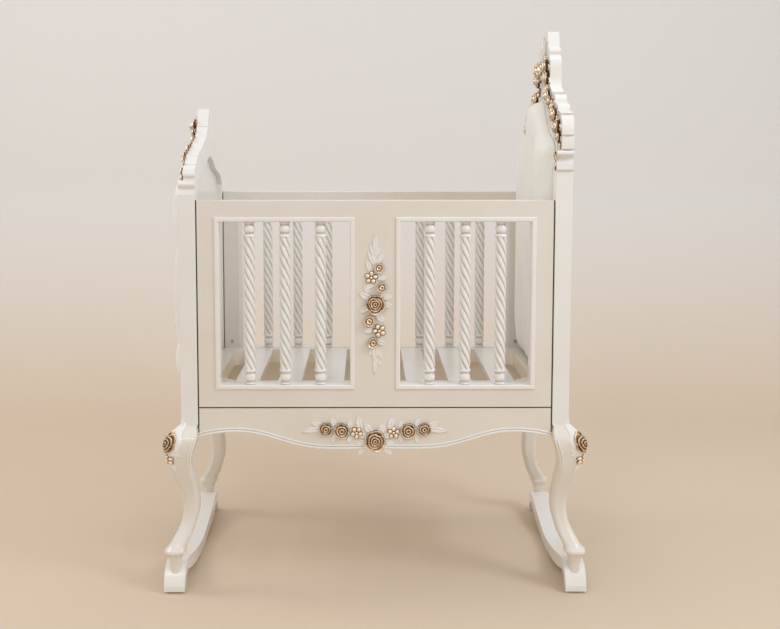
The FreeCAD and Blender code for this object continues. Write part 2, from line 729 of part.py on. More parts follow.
def corner_block():
    reach = bearer_inner_x - slat_places()[-1] - slat_width / 2
    base = base_top - bearer_height
    corner = Vector(bearer_inner_x, bearer_back, base)
    points = [corner, corner - Vector(reach, 0, 0), corner - Vector(0, reach, 0), corner]
    return slab(lines(points), Vector(0, 0, bearer_height))


# Carvings, laid out in the XZ plane with a flat back at y = 0 and the relief towards +y
def faceted(rings):
    """Solid with flat facets between rings of as many points each."""
    faces = [Part.Face(Part.makePolygon(ring + ring[:1])) for ring in (rings[0], rings[-1])]
    for low, high in zip(rings, rings[1:]):
        for here, there in zip(range(-1, len(low)), range(len(low))):
            corners = [low[here], low[there], high[there], high[here], low[here]]
            faces.append(Part.Face(Part.makePolygon(corners)))
    solid = Part.makeSolid(Part.makeShell(faces))
    if solid.Volume < 0:
        solid.reverse()
    return solid


def rosette(radius):
    """Rose as a facet-cut button."""
    height = rose_height_share * radius

    def ring(radius_share, height_share):
        turns = [2 * math.pi * index / rose_facets for index in range(rose_facets)]
        reach = radius_share * radius
        level = height_share * height
        return [Vector(reach * math.cos(turn), level, reach * math.sin(turn)) for turn in turns]

    return faceted([ring(*pair) for pair in rose_ring_shares])


def leaf(length, degrees):
    """Pointed leaf that grows from the origin."""
    half = leaf_width_share * length / 2
    upper = [Vector(along * length, 0, width * half) for along, width in leaf_edge_shares]
    lower = [Vector(point.x, 0, -point.z) for point in reversed(upper[1:-1])]
    outline = upper + lower
    shape = slab(lines(outline + outline[:1]), Vector(0, leaf_height_share * length, 0))
    shape.rotate(Vector(), Vector(0, 1, 0), -degrees)
    return shape


def carving(roses, leaves, stem):
    """One carved piece from roses, leaves and the stem behind them."""
    pieces = [moved(rosette(radius), Vector(x, 0, z)) for x, z, radius in roses]
    pieces += [moved(leaf(length, degrees), Vector(x, 0, z)) for x, z, length, degrees in leaves]
    return stem.fuse(pieces)


def side_spray():
    """Upright spray of roses for a centre stile."""
    size = spray_height
    roses = [(x * size, z * size, r * size) for x, z, r in spray_rose_shares]
    leaves = [(x * size, z * size, length * size, turn) for x, z, length, turn in spray_leaf_shares]
    ends = [row[1] * size for row in spray_leaf_shares]
    along = (min(ends) - carving_stem, max(ends) + carving_stem)
    stem = block(both_ways(carving_stem), (0, carving_stem), along)
    return moved(carving(roses, leaves, stem), Vector(0, side_face, side_bottom + spray_foot))


def apron_garland():
    """Level garland of roses for an apron."""
    size = garland_half
    half_roses = [(x * size, z * size, r * size) for x, z, r in garland_rose_shares]
    half_leaves = [(x * size, z * size, length * size, turn) for x, z, length, turn in garland_leaf_shares]
    roses = half_roses + [(-x, z, r) for x, z, r in half_roses[1:]]
    leaves = half_leaves + [(-x, z, length, 180 - turn) for x, z, length, turn in half_leaves[1:]]
    reach = half_leaves[-1][0]
    stem = block(both_ways(reach), (0, carving_stem), both_ways(carving_stem))
    axis = side_bottom - garland_axis_share * apron_drop
    return moved(carving(roses, leaves, stem), Vector(0, side_face, axis))


def crest_garland(rose_shares, base, rise):
    """Garland that follows a crest from the middle down to both posts, on the pad side."""
    half = [(y * half_depth, base + z * rise, r * half_depth) for y, z, r in rose_shares]
    leaves = []
    for (y, z, _), (next_y, next_z, _) in zip(half, half[1:]):
        step = math.hypot(next_y - y, next_z - z)
        degrees = math.degrees(math.atan2(next_z - z, next_y - y))
        root_y = y + garland_leaf_start_share * (next_y - y)
        root_z = z + garland_leaf_start_share * (next_z - z)
        length = (garland_leaf_end_share - garland_leaf_start_share) * step
        leaves += [(root_y, root_z, length, degrees), (-root_y, root_z, length, 180 - degrees)]
    middle = moved(rosette(half[0][2]), Vector(half[0][0], 0, half[0][1]))
    roses = half[1:] + [(-y, z, r) for y, z, r in half[1:]]
    return moved(turned(carving(roses, leaves, middle), 90), Vector(crest_face, 0, 0))


def build():
    parts = {}
    corners = {"foot": -1, "head": 1}
    sides = {"front": -1, "rear": 1}
    head_leg = leg()
    head_post = post(head_post_top)
    foot_post = post(foot_post_top)
    stile = end_stile()
    long_apron = side_apron()
    garland = apron_garland().cut(long_apron)
    turn = {"front": 180, "rear": 0}
    for side, y_sign in sides.items():
        for end, x_sign in corners.items():
            parts[f"{end}_{side}_post"] = at_corner(head_post if end == "head" else foot_post, x_sign, y_sign)
            parts[f"{end}_{side}_leg"] = at_corner(head_leg, x_sign, y_sign)
            parts[f"{side}_{end}_stile"] = at_corner(stile, x_sign, y_sign)
        parts[f"{side}_top_rail"] = turned(top_rail(), turn[side])
        parts[f"{side}_bottom_rail"] = turned(bottom_rail(), turn[side])
        parts[f"{side}_centre_stile"] = turned(centre_stile(), turn[side])
        parts[f"{side}_window_mouldings"] = turned(side_mouldings(), turn[side])
        parts[f"{side}_apron"] = turned(long_apron, turn[side])
        parts[f"{side}_apron_garland"] = turned(garland, turn[side])
        parts[f"{side}_rose_spray"] = turned(side_spray(), turn[side])
        parts[f"{side}_bearer"] = turned(side_bearer(), turn[side])
    one_spindle = spindle()
    for side, y_sign in sides.items():
        places = [window * window_x + x for window in (-1, 1) for x in spindle_places()]
        for number, x in enumerate(places, start=1):
            parts[f"{side}_spindle_{number}"] = moved(one_spindle, Vector(x, y_sign * side_mid, sill))
    parts["head_crest"] = crest(head_crest_shares, (), head_cap_runs, head_post_top, head_crest_rise,
                                head_arch_shares, head_arch_rise)
    foot_crest = crest(foot_crest_shares, foot_line_shares, foot_cap_runs, foot_post_top, foot_crest_rise,
                       foot_arch_shares, foot_arch_rise)
    parts["foot_crest"] = outwards(foot_crest)
    parts["head_garland"] = crest_garland(head_rose_shares, head_post_top, head_crest_rise)
    parts["foot_garland"] = outwards(crest_garland(foot_rose_shares, foot_post_top, foot_crest_rise))
    parts["head_panel"] = end_panel(head_arch_shares, head_post_top, head_arch_rise)
    parts["foot_panel"] = outwards(end_panel(foot_arch_shares, foot_post_top, foot_arch_rise))
    parts["head_pad"] = head_pad()
    parts["foot_pad"] = outwards(foot_pad())
    for end, x_sign in corners.items():
        parts[f"{end}_apron"] = at_corner(end_apron(), x_sign, 1)
        parts[f"{end}_rocker"] = at_corner(rocker(), x_sign, 1)
        parts[f"{end}_bearer"] = at_corner(end_bearer(), x_sign, 1)
    parts["slats"] = slats()
    every_corner = [(x_sign, y_sign) for x_sign in (-1, 1) for y_sign in (-1, 1)]
    parts["corner_blocks"] = Part.makeCompound([at_corner(corner_block(), *signs) for signs in every_corner])
    bolts = [side_bolt(height) for height in bolt_heights()]
    nuts = [barrel_nut(height).cut(side_bolt(height)) for height in bolt_heights()]
    parts["side_bolts"] = Part.makeCompound([at_corner(bolt, *signs) for signs in every_corner
                                             for bolt in bolts])
    parts["barrel_nuts"] = Part.makeCompound([at_corner(nut, *signs) for signs in every_corner
                                              for nut in nuts])
    tops = {-1: foot_post_top, 1: head_post_top}
    dowels = [at_corner(post_dowel(height), x_sign, y_sign) for x_sign, y_sign in every_corner
              for height in (post_foot, tops[x_sign])]
    parts["dowels"] = Part.makeCompound(dowels)
    parts["rocker_screws"] = Part.makeCompound([at_corner(rocker_screw(), *signs) for signs in every_corner])
    return parts


os.makedirs("parts", exist_ok=True)
for name, shape in build().items():
    print(name, shape.isValid(), len(shape.Solids), round(shape.Volume))
    shape.exportStep(f"parts/{name}.step")
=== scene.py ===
import math
import random

import bmesh
import bpy
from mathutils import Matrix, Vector
from mathutils.bvhtree import BVHTree


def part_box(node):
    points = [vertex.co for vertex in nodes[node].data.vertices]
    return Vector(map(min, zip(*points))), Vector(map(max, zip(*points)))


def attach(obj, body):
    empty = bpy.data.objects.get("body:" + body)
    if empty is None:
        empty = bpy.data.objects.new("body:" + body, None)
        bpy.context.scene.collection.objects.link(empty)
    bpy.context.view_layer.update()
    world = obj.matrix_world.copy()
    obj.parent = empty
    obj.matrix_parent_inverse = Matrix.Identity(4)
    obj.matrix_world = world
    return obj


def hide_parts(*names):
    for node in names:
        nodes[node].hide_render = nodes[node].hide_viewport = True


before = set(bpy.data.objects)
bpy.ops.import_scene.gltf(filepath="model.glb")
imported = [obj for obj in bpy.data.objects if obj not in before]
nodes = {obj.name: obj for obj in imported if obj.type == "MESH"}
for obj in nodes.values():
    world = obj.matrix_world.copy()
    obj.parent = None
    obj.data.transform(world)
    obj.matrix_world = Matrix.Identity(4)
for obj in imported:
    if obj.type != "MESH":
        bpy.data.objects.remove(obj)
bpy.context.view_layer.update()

# Carved rocking cradle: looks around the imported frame.
# Lengths are in metres; carvings are laid out in millimetres.

MM = 0.001
FULL_TURN = 2 * math.pi
ENDS = {"foot": -1, "head": 1}
SIDES = {"front": -1, "rear": 1}

# Bands and amounts of the shader groups
UNIT = (0.0, 1.0)
MIDDLE_BAND = (0.3, 0.7)            # where most of a noise lies
CLOUD_BAND, DRIFT_BAND = (0.35, 0.68), (0.3, 0.75)
DRIFT_TONE = (0.0, 0.22)            # what the drift adds to the clouds of a lacquer
WASH_AND_SHADE_BAND, RUBBED_AND_HIGHLIGHT_BAND, WEAR_BAND = (0.1, 0.48), (0.52, 0.76), (0.1, 0.9)
PATINA_ROUGHNESS = (0.52, 0.3)
# Painted shade darkens the grooves of turned work; it fades out across this share of the thickness
GROOVE_TO_ROUND = (0.37, 0.45)      # of a spindle's full thickness, from its axis
GROOVE_WANDER = (-0.012, 0.012)
TWIST_ROUGHNESS = (0.42, 0.26)
HIDE_ROUGHNESS = (0.42, 0.58)
HIDE_CELLS = 780.0
FILM_OUTPUTS = {"Color": "NodeSocketColor", "Roughness": "NodeSocketFloat",
                "Height": "NodeSocketFloat"}


def film_group(name, colours, values=()):
    """Empty shader group with a film's outputs; returns the tree and its two end nodes."""
    tree = bpy.data.node_groups.new(name, "ShaderNodeTree")
    inputs = [(label, "NodeSocketColor") for label in colours]
    inputs += [(label, "NodeSocketFloat") for label in values]
    for label, kind in inputs:
        tree.interface.new_socket(name=label, in_out="INPUT", socket_type=kind)
    for label, kind in FILM_OUTPUTS.items():
        tree.interface.new_socket(name=label, in_out="OUTPUT", socket_type=kind)
    return tree, tree.nodes.new("NodeGroupInput"), tree.nodes.new("NodeGroupOutput")


def feed(tree, socket, value):
    """Give an input a number, or link it where the value is a socket."""
    if isinstance(value, bpy.types.NodeSocket):
        tree.links.new(value, socket)
    else:
        socket.default_value = value


def noise(tree, coordinates, scale, detail):
    """Noise over the surface in metres."""
    node = tree.nodes.new("ShaderNodeTexNoise")
    node.inputs["Scale"].default_value = scale
    node.inputs["Detail"].default_value = detail
    tree.links.new(coordinates, node.inputs["Vector"])
    return node.outputs["Fac"]


def mixed(tree, factor, first, second):
    """Colour mix of two sockets by a factor socket."""
    node = tree.nodes.new("ShaderNodeMix")
    node.data_type = "RGBA"
    tree.links.new(factor, node.inputs["Factor"])
    tree.links.new(first, node.inputs["A"])
    tree.links.new(second, node.inputs["B"])
    return node.outputs["Result"]


def ranged(tree, value, source, target):
    """Map a value socket from one range to another; the limits may be numbers or sockets."""
    node = tree.nodes.new("ShaderNodeMapRange")
    tree.links.new(value, node.inputs["Value"])
    for label, limit in zip(("From Min", "From Max", "To Min", "To Max"), (*source, *target)):
        feed(tree, node.inputs[label], limit)
    return node.outputs["Result"]


def reckoned(tree, first, operation, second):
    """Result of one sum on two values or sockets."""
    node = tree.nodes.new("ShaderNodeMath")
    node.operation = operation
    feed(tree, node.inputs[0], first)
    feed(tree, node.inputs[1], second)
    return node.outputs["Value"]


def graded(tree, coordinate, band, low_colour, high_colour):
    """Colour that runs from one to another while the height crosses a band."""
    parted = tree.nodes.new("ShaderNodeSeparateXYZ")
    where = tree.nodes.new("ShaderNodeTexCoord").outputs[coordinate]
    tree.links.new(where, parted.inputs["Vector"])
    ramp = tree.nodes.new("ShaderNodeValToRGB")
    ramp.color_ramp.elements[0].color = low_colour
    ramp.color_ramp.elements[1].color = high_colour
    tree.links.new(ranged(tree, parted.outputs["Z"], band, UNIT), ramp.inputs["Fac"])
    return ramp.outputs["Color"]


def lacquer_film_group():
    """Sprayed lacquer: cloudy tone, brushed-out gloss and a fine orange peel."""
    tree, entry, leave = film_group("lacquer film", ("Light", "Shade"), ("Gloss", "Matt"))
    where = tree.nodes.new("ShaderNodeTexCoord").outputs["Object"]
    clouds = noise(tree, where, scale=7.0, detail=3.0)
    drift = noise(tree, where, scale=16.0, detail=1.0)
    peel = noise(tree, where, scale=620.0, detail=2.0)
    tone = ranged(tree, clouds, CLOUD_BAND, UNIT)
    shade = reckoned(tree, tone, "ADD", ranged(tree, drift, DRIFT_BAND, DRIFT_TONE))
    colour = mixed(tree, shade, entry.outputs["Light"], entry.outputs["Shade"])
    gloss = (entry.outputs["Gloss"], entry.outputs["Matt"])
    tree.links.new(colour, leave.inputs["Color"])
    tree.links.new(ranged(tree, drift, MIDDLE_BAND, gloss), leave.inputs["Roughness"])
    tree.links.new(peel, leave.inputs["Height"])
    return tree


def patina_and_shade_group():
    """Dark wash with painted shade in the hollows of a carving, rubbed gilding with a painted
    highlight on its high edges.
    """
    tree, entry, leave = film_group("patina and painted light", ("Hollow", "Ground", "Rubbed And Highlight"), ("Spread",))
    where = tree.nodes.new("ShaderNodeTexCoord").outputs["Object"]
    blotches = noise(tree, where, scale=160.0, detail=4.0)
    grain = noise(tree, where, scale=900.0, detail=3.0)
    relief = tree.nodes.new("ShaderNodeAttribute")
    relief.attribute_name = "relief"
    shift = reckoned(tree, blotches, "SUBTRACT", 0.5)
    patches = reckoned(tree, shift, "MULTIPLY", entry.outputs["Spread"])
    wear_and_light = reckoned(tree, relief.outputs["Fac"], "ADD", patches)
    low = ranged(tree, wear_and_light, WASH_AND_SHADE_BAND, UNIT)
    high = ranged(tree, wear_and_light, RUBBED_AND_HIGHLIGHT_BAND, UNIT)
    ground = mixed(tree, low, entry.outputs["Hollow"], entry.outputs["Ground"])
    tree.links.new(mixed(tree, high, ground, entry.outputs["Rubbed And Highlight"]), leave.inputs["Color"])
    tree.links.new(ranged(tree, wear_and_light, WEAR_BAND, PATINA_ROUGHNESS), leave.inputs["Roughness"])
    tree.links.new(grain, leave.inputs["Height"])
    return tree


def groove_shaded_twist_group():
    """Lacquer on turned work: full colour on its outermost rounds, painted shade darkening its
    grooves.
    """
    tree, entry, leave = film_group("groove shaded twist", ("Light", "Groove Shade"))
    coordinates = tree.nodes.new("ShaderNodeTexCoord")
    parted = tree.nodes.new("ShaderNodeSeparateXYZ")
    tree.links.new(coordinates.outputs["Generated"], parted.inputs["Vector"])
    squares = []
    for axis in ("X", "Y"):
        off = reckoned(tree, parted.outputs[axis], "SUBTRACT", 0.5)
        squares.append(reckoned(tree, off, "MULTIPLY", off))
    reach = reckoned(tree, reckoned(tree, squares[0], "ADD", squares[1]), "POWER", 0.5)
    drift = noise(tree, coordinates.outputs["Object"], scale=60.0, detail=2.0)
    wander = ranged(tree, drift, MIDDLE_BAND, GROOVE_WANDER)
    # Painted shade: the colour runs from the groove shade in the grooves to the light colour on the
    # rounds
    bright = ranged(tree, reckoned(tree, reach, "ADD", wander), GROOVE_TO_ROUND, UNIT)
    colour = mixed(tree, bright, entry.outputs["Groove Shade"], entry.outputs["Light"])
    tree.links.new(colour, leave.inputs["Color"])
    tree.links.new(ranged(tree, bright, UNIT, TWIST_ROUGHNESS), leave.inputs["Roughness"])
    tree.links.new(drift, leave.inputs["Height"])
    return tree


def hide_grain_group():
    """Fine pebbled grain of soft upholstery with faint tonal drift."""
    tree, entry, leave = film_group("hide grain", ("Light", "Shade"))
    where = tree.nodes.new("ShaderNodeTexCoord").outputs["Object"]
    drift = noise(tree, where, scale=9.0, detail=3.0)
    wrinkle = noise(tree, where, scale=130.0, detail=5.0)
    cells = tree.nodes.new("ShaderNodeTexVoronoi")
    cells.inputs["Scale"].default_value = HIDE_CELLS
    tree.links.new(where, cells.inputs["Vector"])
    tone = ranged(tree, drift, MIDDLE_BAND, UNIT)
    colour = mixed(tree, tone, entry.outputs["Light"], entry.outputs["Shade"])
    tree.links.new(colour, leave.inputs["Color"])
    tree.links.new(ranged(tree, wrinkle, MIDDLE_BAND, HIDE_ROUGHNESS), leave.inputs["Roughness"])
    height = reckoned(tree, cells.outputs["Distance"], "ADD", wrinkle)
    tree.links.new(height, leave.inputs["Height"])
    return tree


# Finishes
BUMP_DISTANCE = 0.0004
GLOSS_COAT = {"Coat Weight": 0.35, "Coat Roughness": 0.12, "IOR": 1.5}


def finish_material(name, group, group_values, constants, bump=None):
    """Principled material whose colour, roughness and bump come from one group."""
    material = bpy.data.materials.new(name)
    material.use_nodes = True
    tree = material.node_tree
    shader = tree.nodes["Principled BSDF"]
    film = tree.nodes.new("ShaderNodeGroup")
    film.node_tree = group
    for label, value in group_values.items():
        film.inputs[label].default_value = value
    tree.links.new(film.outputs["Color"], shader.inputs["Base Color"])
    tree.links.new(film.outputs["Roughness"], shader.inputs["Roughness"])
    if bump:
        relief = tree.nodes.new("ShaderNodeBump")
        relief.inputs["Strength"].default_value = bump
        relief.inputs["Distance"].default_value = BUMP_DISTANCE
        tree.links.new(film.outputs["Height"], relief.inputs["Height"])
        tree.links.new(relief.outputs["Normal"], shader.inputs["Normal"])
    for label, value in constants.items():
        shader.inputs[label].default_value = value
    return material


def lacquer(name, light, shade, gloss, matt, constants, bump=None):
    """Material with the lacquer film, from a light and a shaded colour."""
    values = {"Light": (*light, 1), "Shade": (*shade, 1), "Gloss": gloss, "Matt": matt}
    return finish_material(name, lacquer_film, values, constants, bump)


lacquer_film = lacquer_film_group()
patina_and_shade = patina_and_shade_group()
hide_grain = hide_grain_group()
groove_shaded_twist = groove_shaded_twist_group()

ivory_lacquer = lacquer(
    "ivory lacquer", (0.785, 0.74, 0.665), (0.755, 0.7, 0.615), 0.3, 0.34, GLOSS_COAT)
pearl_lacquer = lacquer(
    "pearl lacquer", (0.85, 0.83, 0.795), (0.82, 0.79, 0.745), 0.28, 0.32, GLOSS_COAT)
carved_white = lacquer(
    "carved white lacquer", (0.86, 0.84, 0.8), (0.82, 0.79, 0.74), 0.24, 0.28, GLOSS_COAT)
plated_steel = lacquer(
    "plated bolt steel", (0.6, 0.6, 0.6), (0.5, 0.5, 0.5), 0.25, 0.45, {"Metallic": 1.0})
plain_beech = lacquer(
    "plain beech", (0.62, 0.42, 0.24), (0.5, 0.32, 0.17), 0.5, 0.65,
    {"Specular IOR Level": 0.3}, 0.1)
# Dark sheet set into the joint lines: painted shade
joint_shadow = lacquer(
    "painted joint shade", (0.1, 0.075, 0.052), (0.07, 0.05, 0.035), 0.7, 0.9,
    {"Specular IOR Level": 0.1})
# Twisted spindles: light colour on the rounds, painted shade in the grooves
twist_lacquer = finish_material(
    "twisted spindle lacquer", groove_shaded_twist,
    {"Light": (0.88, 0.86, 0.825, 1), "Groove Shade": (0.56, 0.52, 0.46, 1)},
    {"Coat Weight": 0.8, "Coat Roughness": 0.08, "IOR": 1.5})
# Gilding: dark wash with painted shade in the hollows, rubbed gold with a painted highlight on the
# lips
antique_gold = finish_material(
    "antique gold patina and painted light", patina_and_shade,
    {"Hollow": (0.06, 0.022, 0.007, 1), "Ground": (0.54, 0.32, 0.15, 1),
     "Rubbed And Highlight": (0.98, 0.86, 0.7, 1), "Spread": 0.4},
    {"Metallic": 0.6, "Coat Weight": 0.15, "Coat Roughness": 0.1}, 0.2)
cream_hide = finish_material(
    "cream upholstery", hide_grain,
    {"Light": (0.86, 0.84, 0.795, 1), "Shade": (0.83, 0.80, 0.745, 1)},
    {"Sheen Weight": 0.15, "Sheen Roughness": 0.4}, 0.15)

PALE_PIECES = ("rocker", "mouldings", "post", "panel", "crest", "slats")
BARE_PIECES = {"side_bolts": plated_steel, "barrel_nuts": plated_steel,
               "rocker_screws": plated_steel, "dowels": plain_beech}
BEAD_PROUD = 0.0041                 # how far the beads stand out of an apron, with some slack


def dress_frame():
    """Finish for every node; the beads of the aprons get the whiter carving lacquer as a painted
    highlight.
    """
    for name, node in nodes.items():
        if "spindle" in name:
            finish = twist_lacquer
        elif name in BARE_PIECES:
            finish = BARE_PIECES[name]
        else:
            pale = any(word in name for word in PALE_PIECES)
            finish = pearl_lacquer if pale else ivory_lacquer
        node.data.materials.clear()
        node.data.materials.append(finish)
    for place in (*SIDES, *ENDS):
        mesh = nodes[f"{place}_apron"].data
        # Whiter lacquer on the proud bead faces: a painted highlight along the beads
        mesh.materials.append(carved_white)
        axis = 1 if place in SIDES else 0
        outer = max(abs(vertex.co[axis]) for vertex in mesh.vertices)
        for face in mesh.polygons:
            if abs(face.center[axis]) > outer - BEAD_PROUD:
                face.material_index = 1


# Mesh pieces
def piece_from(name, points, faces, materials):
    """Mesh object of the cradle, in place, riding on its one body."""
    mesh = bpy.data.meshes.new(name)
    mesh.from_pydata(points, [], faces)
    for material in materials:
        mesh.materials.append(material)
    piece = bpy.data.objects.new(name, mesh)
    bpy.context.scene.collection.objects.link(piece)
    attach(piece, "root")
    return piece


def outward_normals(mesh):
    """Turn the faces of closed shells outwards."""
    work = bmesh.new()
    work.from_mesh(mesh)
    bmesh.ops.recalc_face_normals(work, faces=work.faces)
    work.to_mesh(mesh)
    work.free()


def shade_smooth(mesh):
    mesh.polygons.foreach_set("use_smooth", [True] * len(mesh.polygons))


def strip_faces(first, spokes, rings, closed=False):
    """Faces between neighbouring rings of points, the last and first ring too where closed."""
    faces = []
    for ring in range(rings if closed else rings - 1):
        start = first + ring * spokes
        beyond = first + (ring + 1) % rings * spokes
        for k in range(spokes):
            following = (k + 1) % spokes
            faces.append((start + k, start + following, beyond + following, beyond + k))
    return faces


def ridge(offset, width):
    """Bell-shaped rise: 1 on its line, fading with the offset from it."""
    return math.exp(-(offset / width) ** 2)


# Rounds of petals from the heart outwards: count, reach, level at the foot, level at the lip
FULL_ROSE = ((2, 0.2, 0.86, 0.97), (3, 0.44, 0.7, 0.9), (3, 0.7, 0.5, 0.76), (5, 1.0, 0.26, 0.54))
SMALL_ROSE = ((2, 0.32, 0.8, 0.97), (3, 0.66, 0.54, 0.84), (4, 1.0, 0.22, 0.56))
ROSE_BUD = ((2, 0.46, 0.78, 1.0), (3, 1.0, 0.46, 0.78))
FULL_ROSE_RADIUS = 21               # larger roses have all four rounds
FINE_ROSE_RADIUS = 15               # larger roses have the fine grid
FINE_GRID, COARSE_GRID = (72, 40), (48, 26)     # spokes and rows
PETAL_LAP = 1.25
PETAL_LENGTHS = (0.9, 1.0)
PETAL_ROUND, PETAL_CURVE = 0.2, 2.2
PETAL_TILT = 0.09
PETAL_CUP = 1.4
EDGE_SLACK = 0.001

# Tones of a rose, from 0 in the dark wash with painted shade to 1 where it is rubbed bright with a
# painted highlight
CLIMB_TONE, LIP_TONE, FOLD_TONE = 0.56, 0.42, 0.2
# Bare ground between petals, the side wall and the root stay dark: painted shade with the wash
BARE_TONE, WALL_TONE, ROOT_TONE = 0.1, 0.15, 0.05
WALL_LEVEL = 0.75                   # of the lip, where the side wall of a rose turns in

# Petals of a small flower, as shares of its radius
FLOWER_PETALS = 5
PETAL_PLACE, PETAL_LONG, PETAL_WIDE, PETAL_HIGH = 0.58, 0.42, 0.37, 0.4
BUTTON_RADIUS, BUTTON_HIGH = 0.27, 0.55

# Relief across a leaf: sunk midrib and raised border
LOBE_NOTCH = 0.2
MIDRIB_DEPTH, MIDRIB_WIDTH = 0.38, 0.2
BORDER_HIGH, BORDER_PLACE, BORDER_WIDTH = 0.22, 0.8, 0.16
LEAF_THIN, LEAF_POINT = 0.3, 0.035  # least thickness in millimetres, least half width as a share

# Relief of the shield on a knee: where it is widest, and its two flutes
SHIELD_WIDEST = 0.52
FLUTE_DEPTH, FLUTE_PLACE, FLUTE_WIDTH = 0.5, 0.42, 0.12
SHIELD_THIN, SHIELD_TONE = 0.05, 0.6


class Carving:
    """Carved motifs on a flat ground: x right, y up, z out of the ground, in millimetres."""

    GOLD, WHITE = 0, 1
    SUNK = -0.4

    def __init__(self):
        self.points = []
        self.relief = []
        self.faces = []
        self.finish = []

    def shell(self, rings, reliefs, finish):
        """Closed shell through rings of as many points each, capped at both ends."""
        first = len(self.points)
        count = len(rings[0])
        for ring, tones in zip(rings, reliefs):
            self.points += ring
            self.relief += tones
        last = len(self.points) - count
        faces = [tuple(range(first, first + count))]
        faces += strip_faces(first, count, len(rings))
        faces.append(tuple(range(last, last + count)))
        self.faces += faces
        self.finish += [finish] * len(faces)

    def rose(self, x, y, radius, seed, height=0.62, stretch=1.0, rounds=None, tone_offset=0.02):
        """Rounds of petals that slope up and out to their lips, the inner rounds on top."""
        if rounds is None:
            rounds = FULL_ROSE if radius > FULL_ROSE_RADIUS else SMALL_ROSE
        rng = random.Random(seed)
        starts = [rng.uniform(0, FULL_TURN) for _ in rounds]
        lengths = [[rng.uniform(*PETAL_LENGTHS) for _ in range(row[0])] for row in rounds]
        spokes, rows = FINE_GRID if radius > FINE_ROSE_RADIUS else COARSE_GRID

        def petals(index, angle):
            """Place across each petal of a round at an angle, from -1 to 1, and its reach there."""
            count, reach, _, _ = rounds[index]
            half = PETAL_LAP * math.pi / count
            for petal in range(count):
                turn = angle - starts[index] - FULL_TURN * petal / count
                off = (turn + math.pi) % FULL_TURN - math.pi
                if abs(off) < half:
                    across = off / half
                    rounded = 1 - PETAL_ROUND * abs(across) ** PETAL_CURVE
                    yield across, reach * lengths[index][petal] * rounded

        def surface(share, angle):
            """Level and tone at a share of the radius."""
            inner = 0.0
            for index, (_, reach, base, lip) in enumerate(rounds):
                found = []
                for across, edge in petals(index, angle):
                    if share <= edge + EDGE_SLACK:
                        climb = min(1.0, max(0.0, (share - inner) / (edge - inner)))
                        level = base + (lip - base) * climb ** PETAL_CUP + PETAL_TILT * across
                        # Brighter up to the lip, a painted highlight with the rubbed gilding;
                        # darker on the tucked-under side, painted shade
                        lit = CLIMB_TONE * climb ** 0.8 + LIP_TONE * climb ** 4
                        folded = FOLD_TONE * max(0.0, -across) ** 2
                        found.append((level, tone_offset + lit - folded))
                if found:
                    return max(found)
                inner = reach * (1 - PETAL_ROUND)
            return rounds[-1][2], BARE_TONE

        angles = [FULL_TURN * k / spokes for k in range(spokes)]
        last = len(rounds) - 1
        outline = [max(edge for _, edge in petals(last, angle)) for angle in angles]
        rings, reliefs = [], []
        for row in range(-2, rows):
            share = 1 - max(row, 0) / (rows - 0.5)
            ring, tones = [], []
            for angle, edge in zip(angles, outline):
                level, tone = surface(share * edge, angle)
                reach = radius * share * edge
                rise = height * radius * level
                # Root and side wall take dark tones: painted shade under the petals
                if row == -2:
                    rise, tone = self.SUNK, ROOT_TONE
                elif row == -1:
                    rise, tone = WALL_LEVEL * rise, WALL_TONE
                ring.append((x + reach * math.cos(angle),
                             y + stretch * reach * math.sin(angle), rise))
                tones.append(tone)
            rings.append(ring)
            reliefs.append(tones)
        self.shell(rings, reliefs, self.GOLD)

    def bud(self, x, y, radius, seed):
        """Half-open rosebud: a ball of wrapped petals."""
        self.rose(x, y, radius, seed, height=1.0, rounds=ROSE_BUD, tone_offset=0.2)

    def knob(self, x, y, radius_x, radius_y, height, turn=0.0):
        """Round gilded swelling with a flat back."""
        spokes, rows = 18, 7
        rings, reliefs = [], []
        for row in range(-1, rows):
            lift = math.pi / 2 * max(row, 0) / (rows - 0.4)
            level = self.SUNK if row < 0 else height * math.sin(lift)
            ring = []
            for k in range(spokes):
                angle = FULL_TURN * k / spokes
                across = radius_x * math.cos(lift) * math.cos(angle)
                along = radius_y * math.cos(lift) * math.sin(angle)
                ring.append((x + across * math.cos(turn) - along * math.sin(turn),
                             y + across * math.sin(turn) + along * math.cos(turn), level))
            rings.append(ring)
            # Darker at its foot and brighter on top: wash with painted shade below, rubbed gilding
            # with a painted highlight above
            reliefs.append([0.08 + 0.92 * math.sin(lift) ** 1.5] * spokes)
        self.shell(rings, reliefs, self.GOLD)

    def flower(self, x, y, radius, turn):
        """Round petals about a button."""
        for k in range(FLOWER_PETALS):
            angle = turn + FULL_TURN * k / FLOWER_PETALS
            self.knob(x + PETAL_PLACE * radius * math.cos(angle),
                      y + PETAL_PLACE * radius * math.sin(angle),
                      PETAL_LONG * radius, PETAL_WIDE * radius, PETAL_HIGH * radius, angle)
        self.knob(x, y, BUTTON_RADIUS * radius, BUTTON_RADIUS * radius, BUTTON_HIGH * radius)

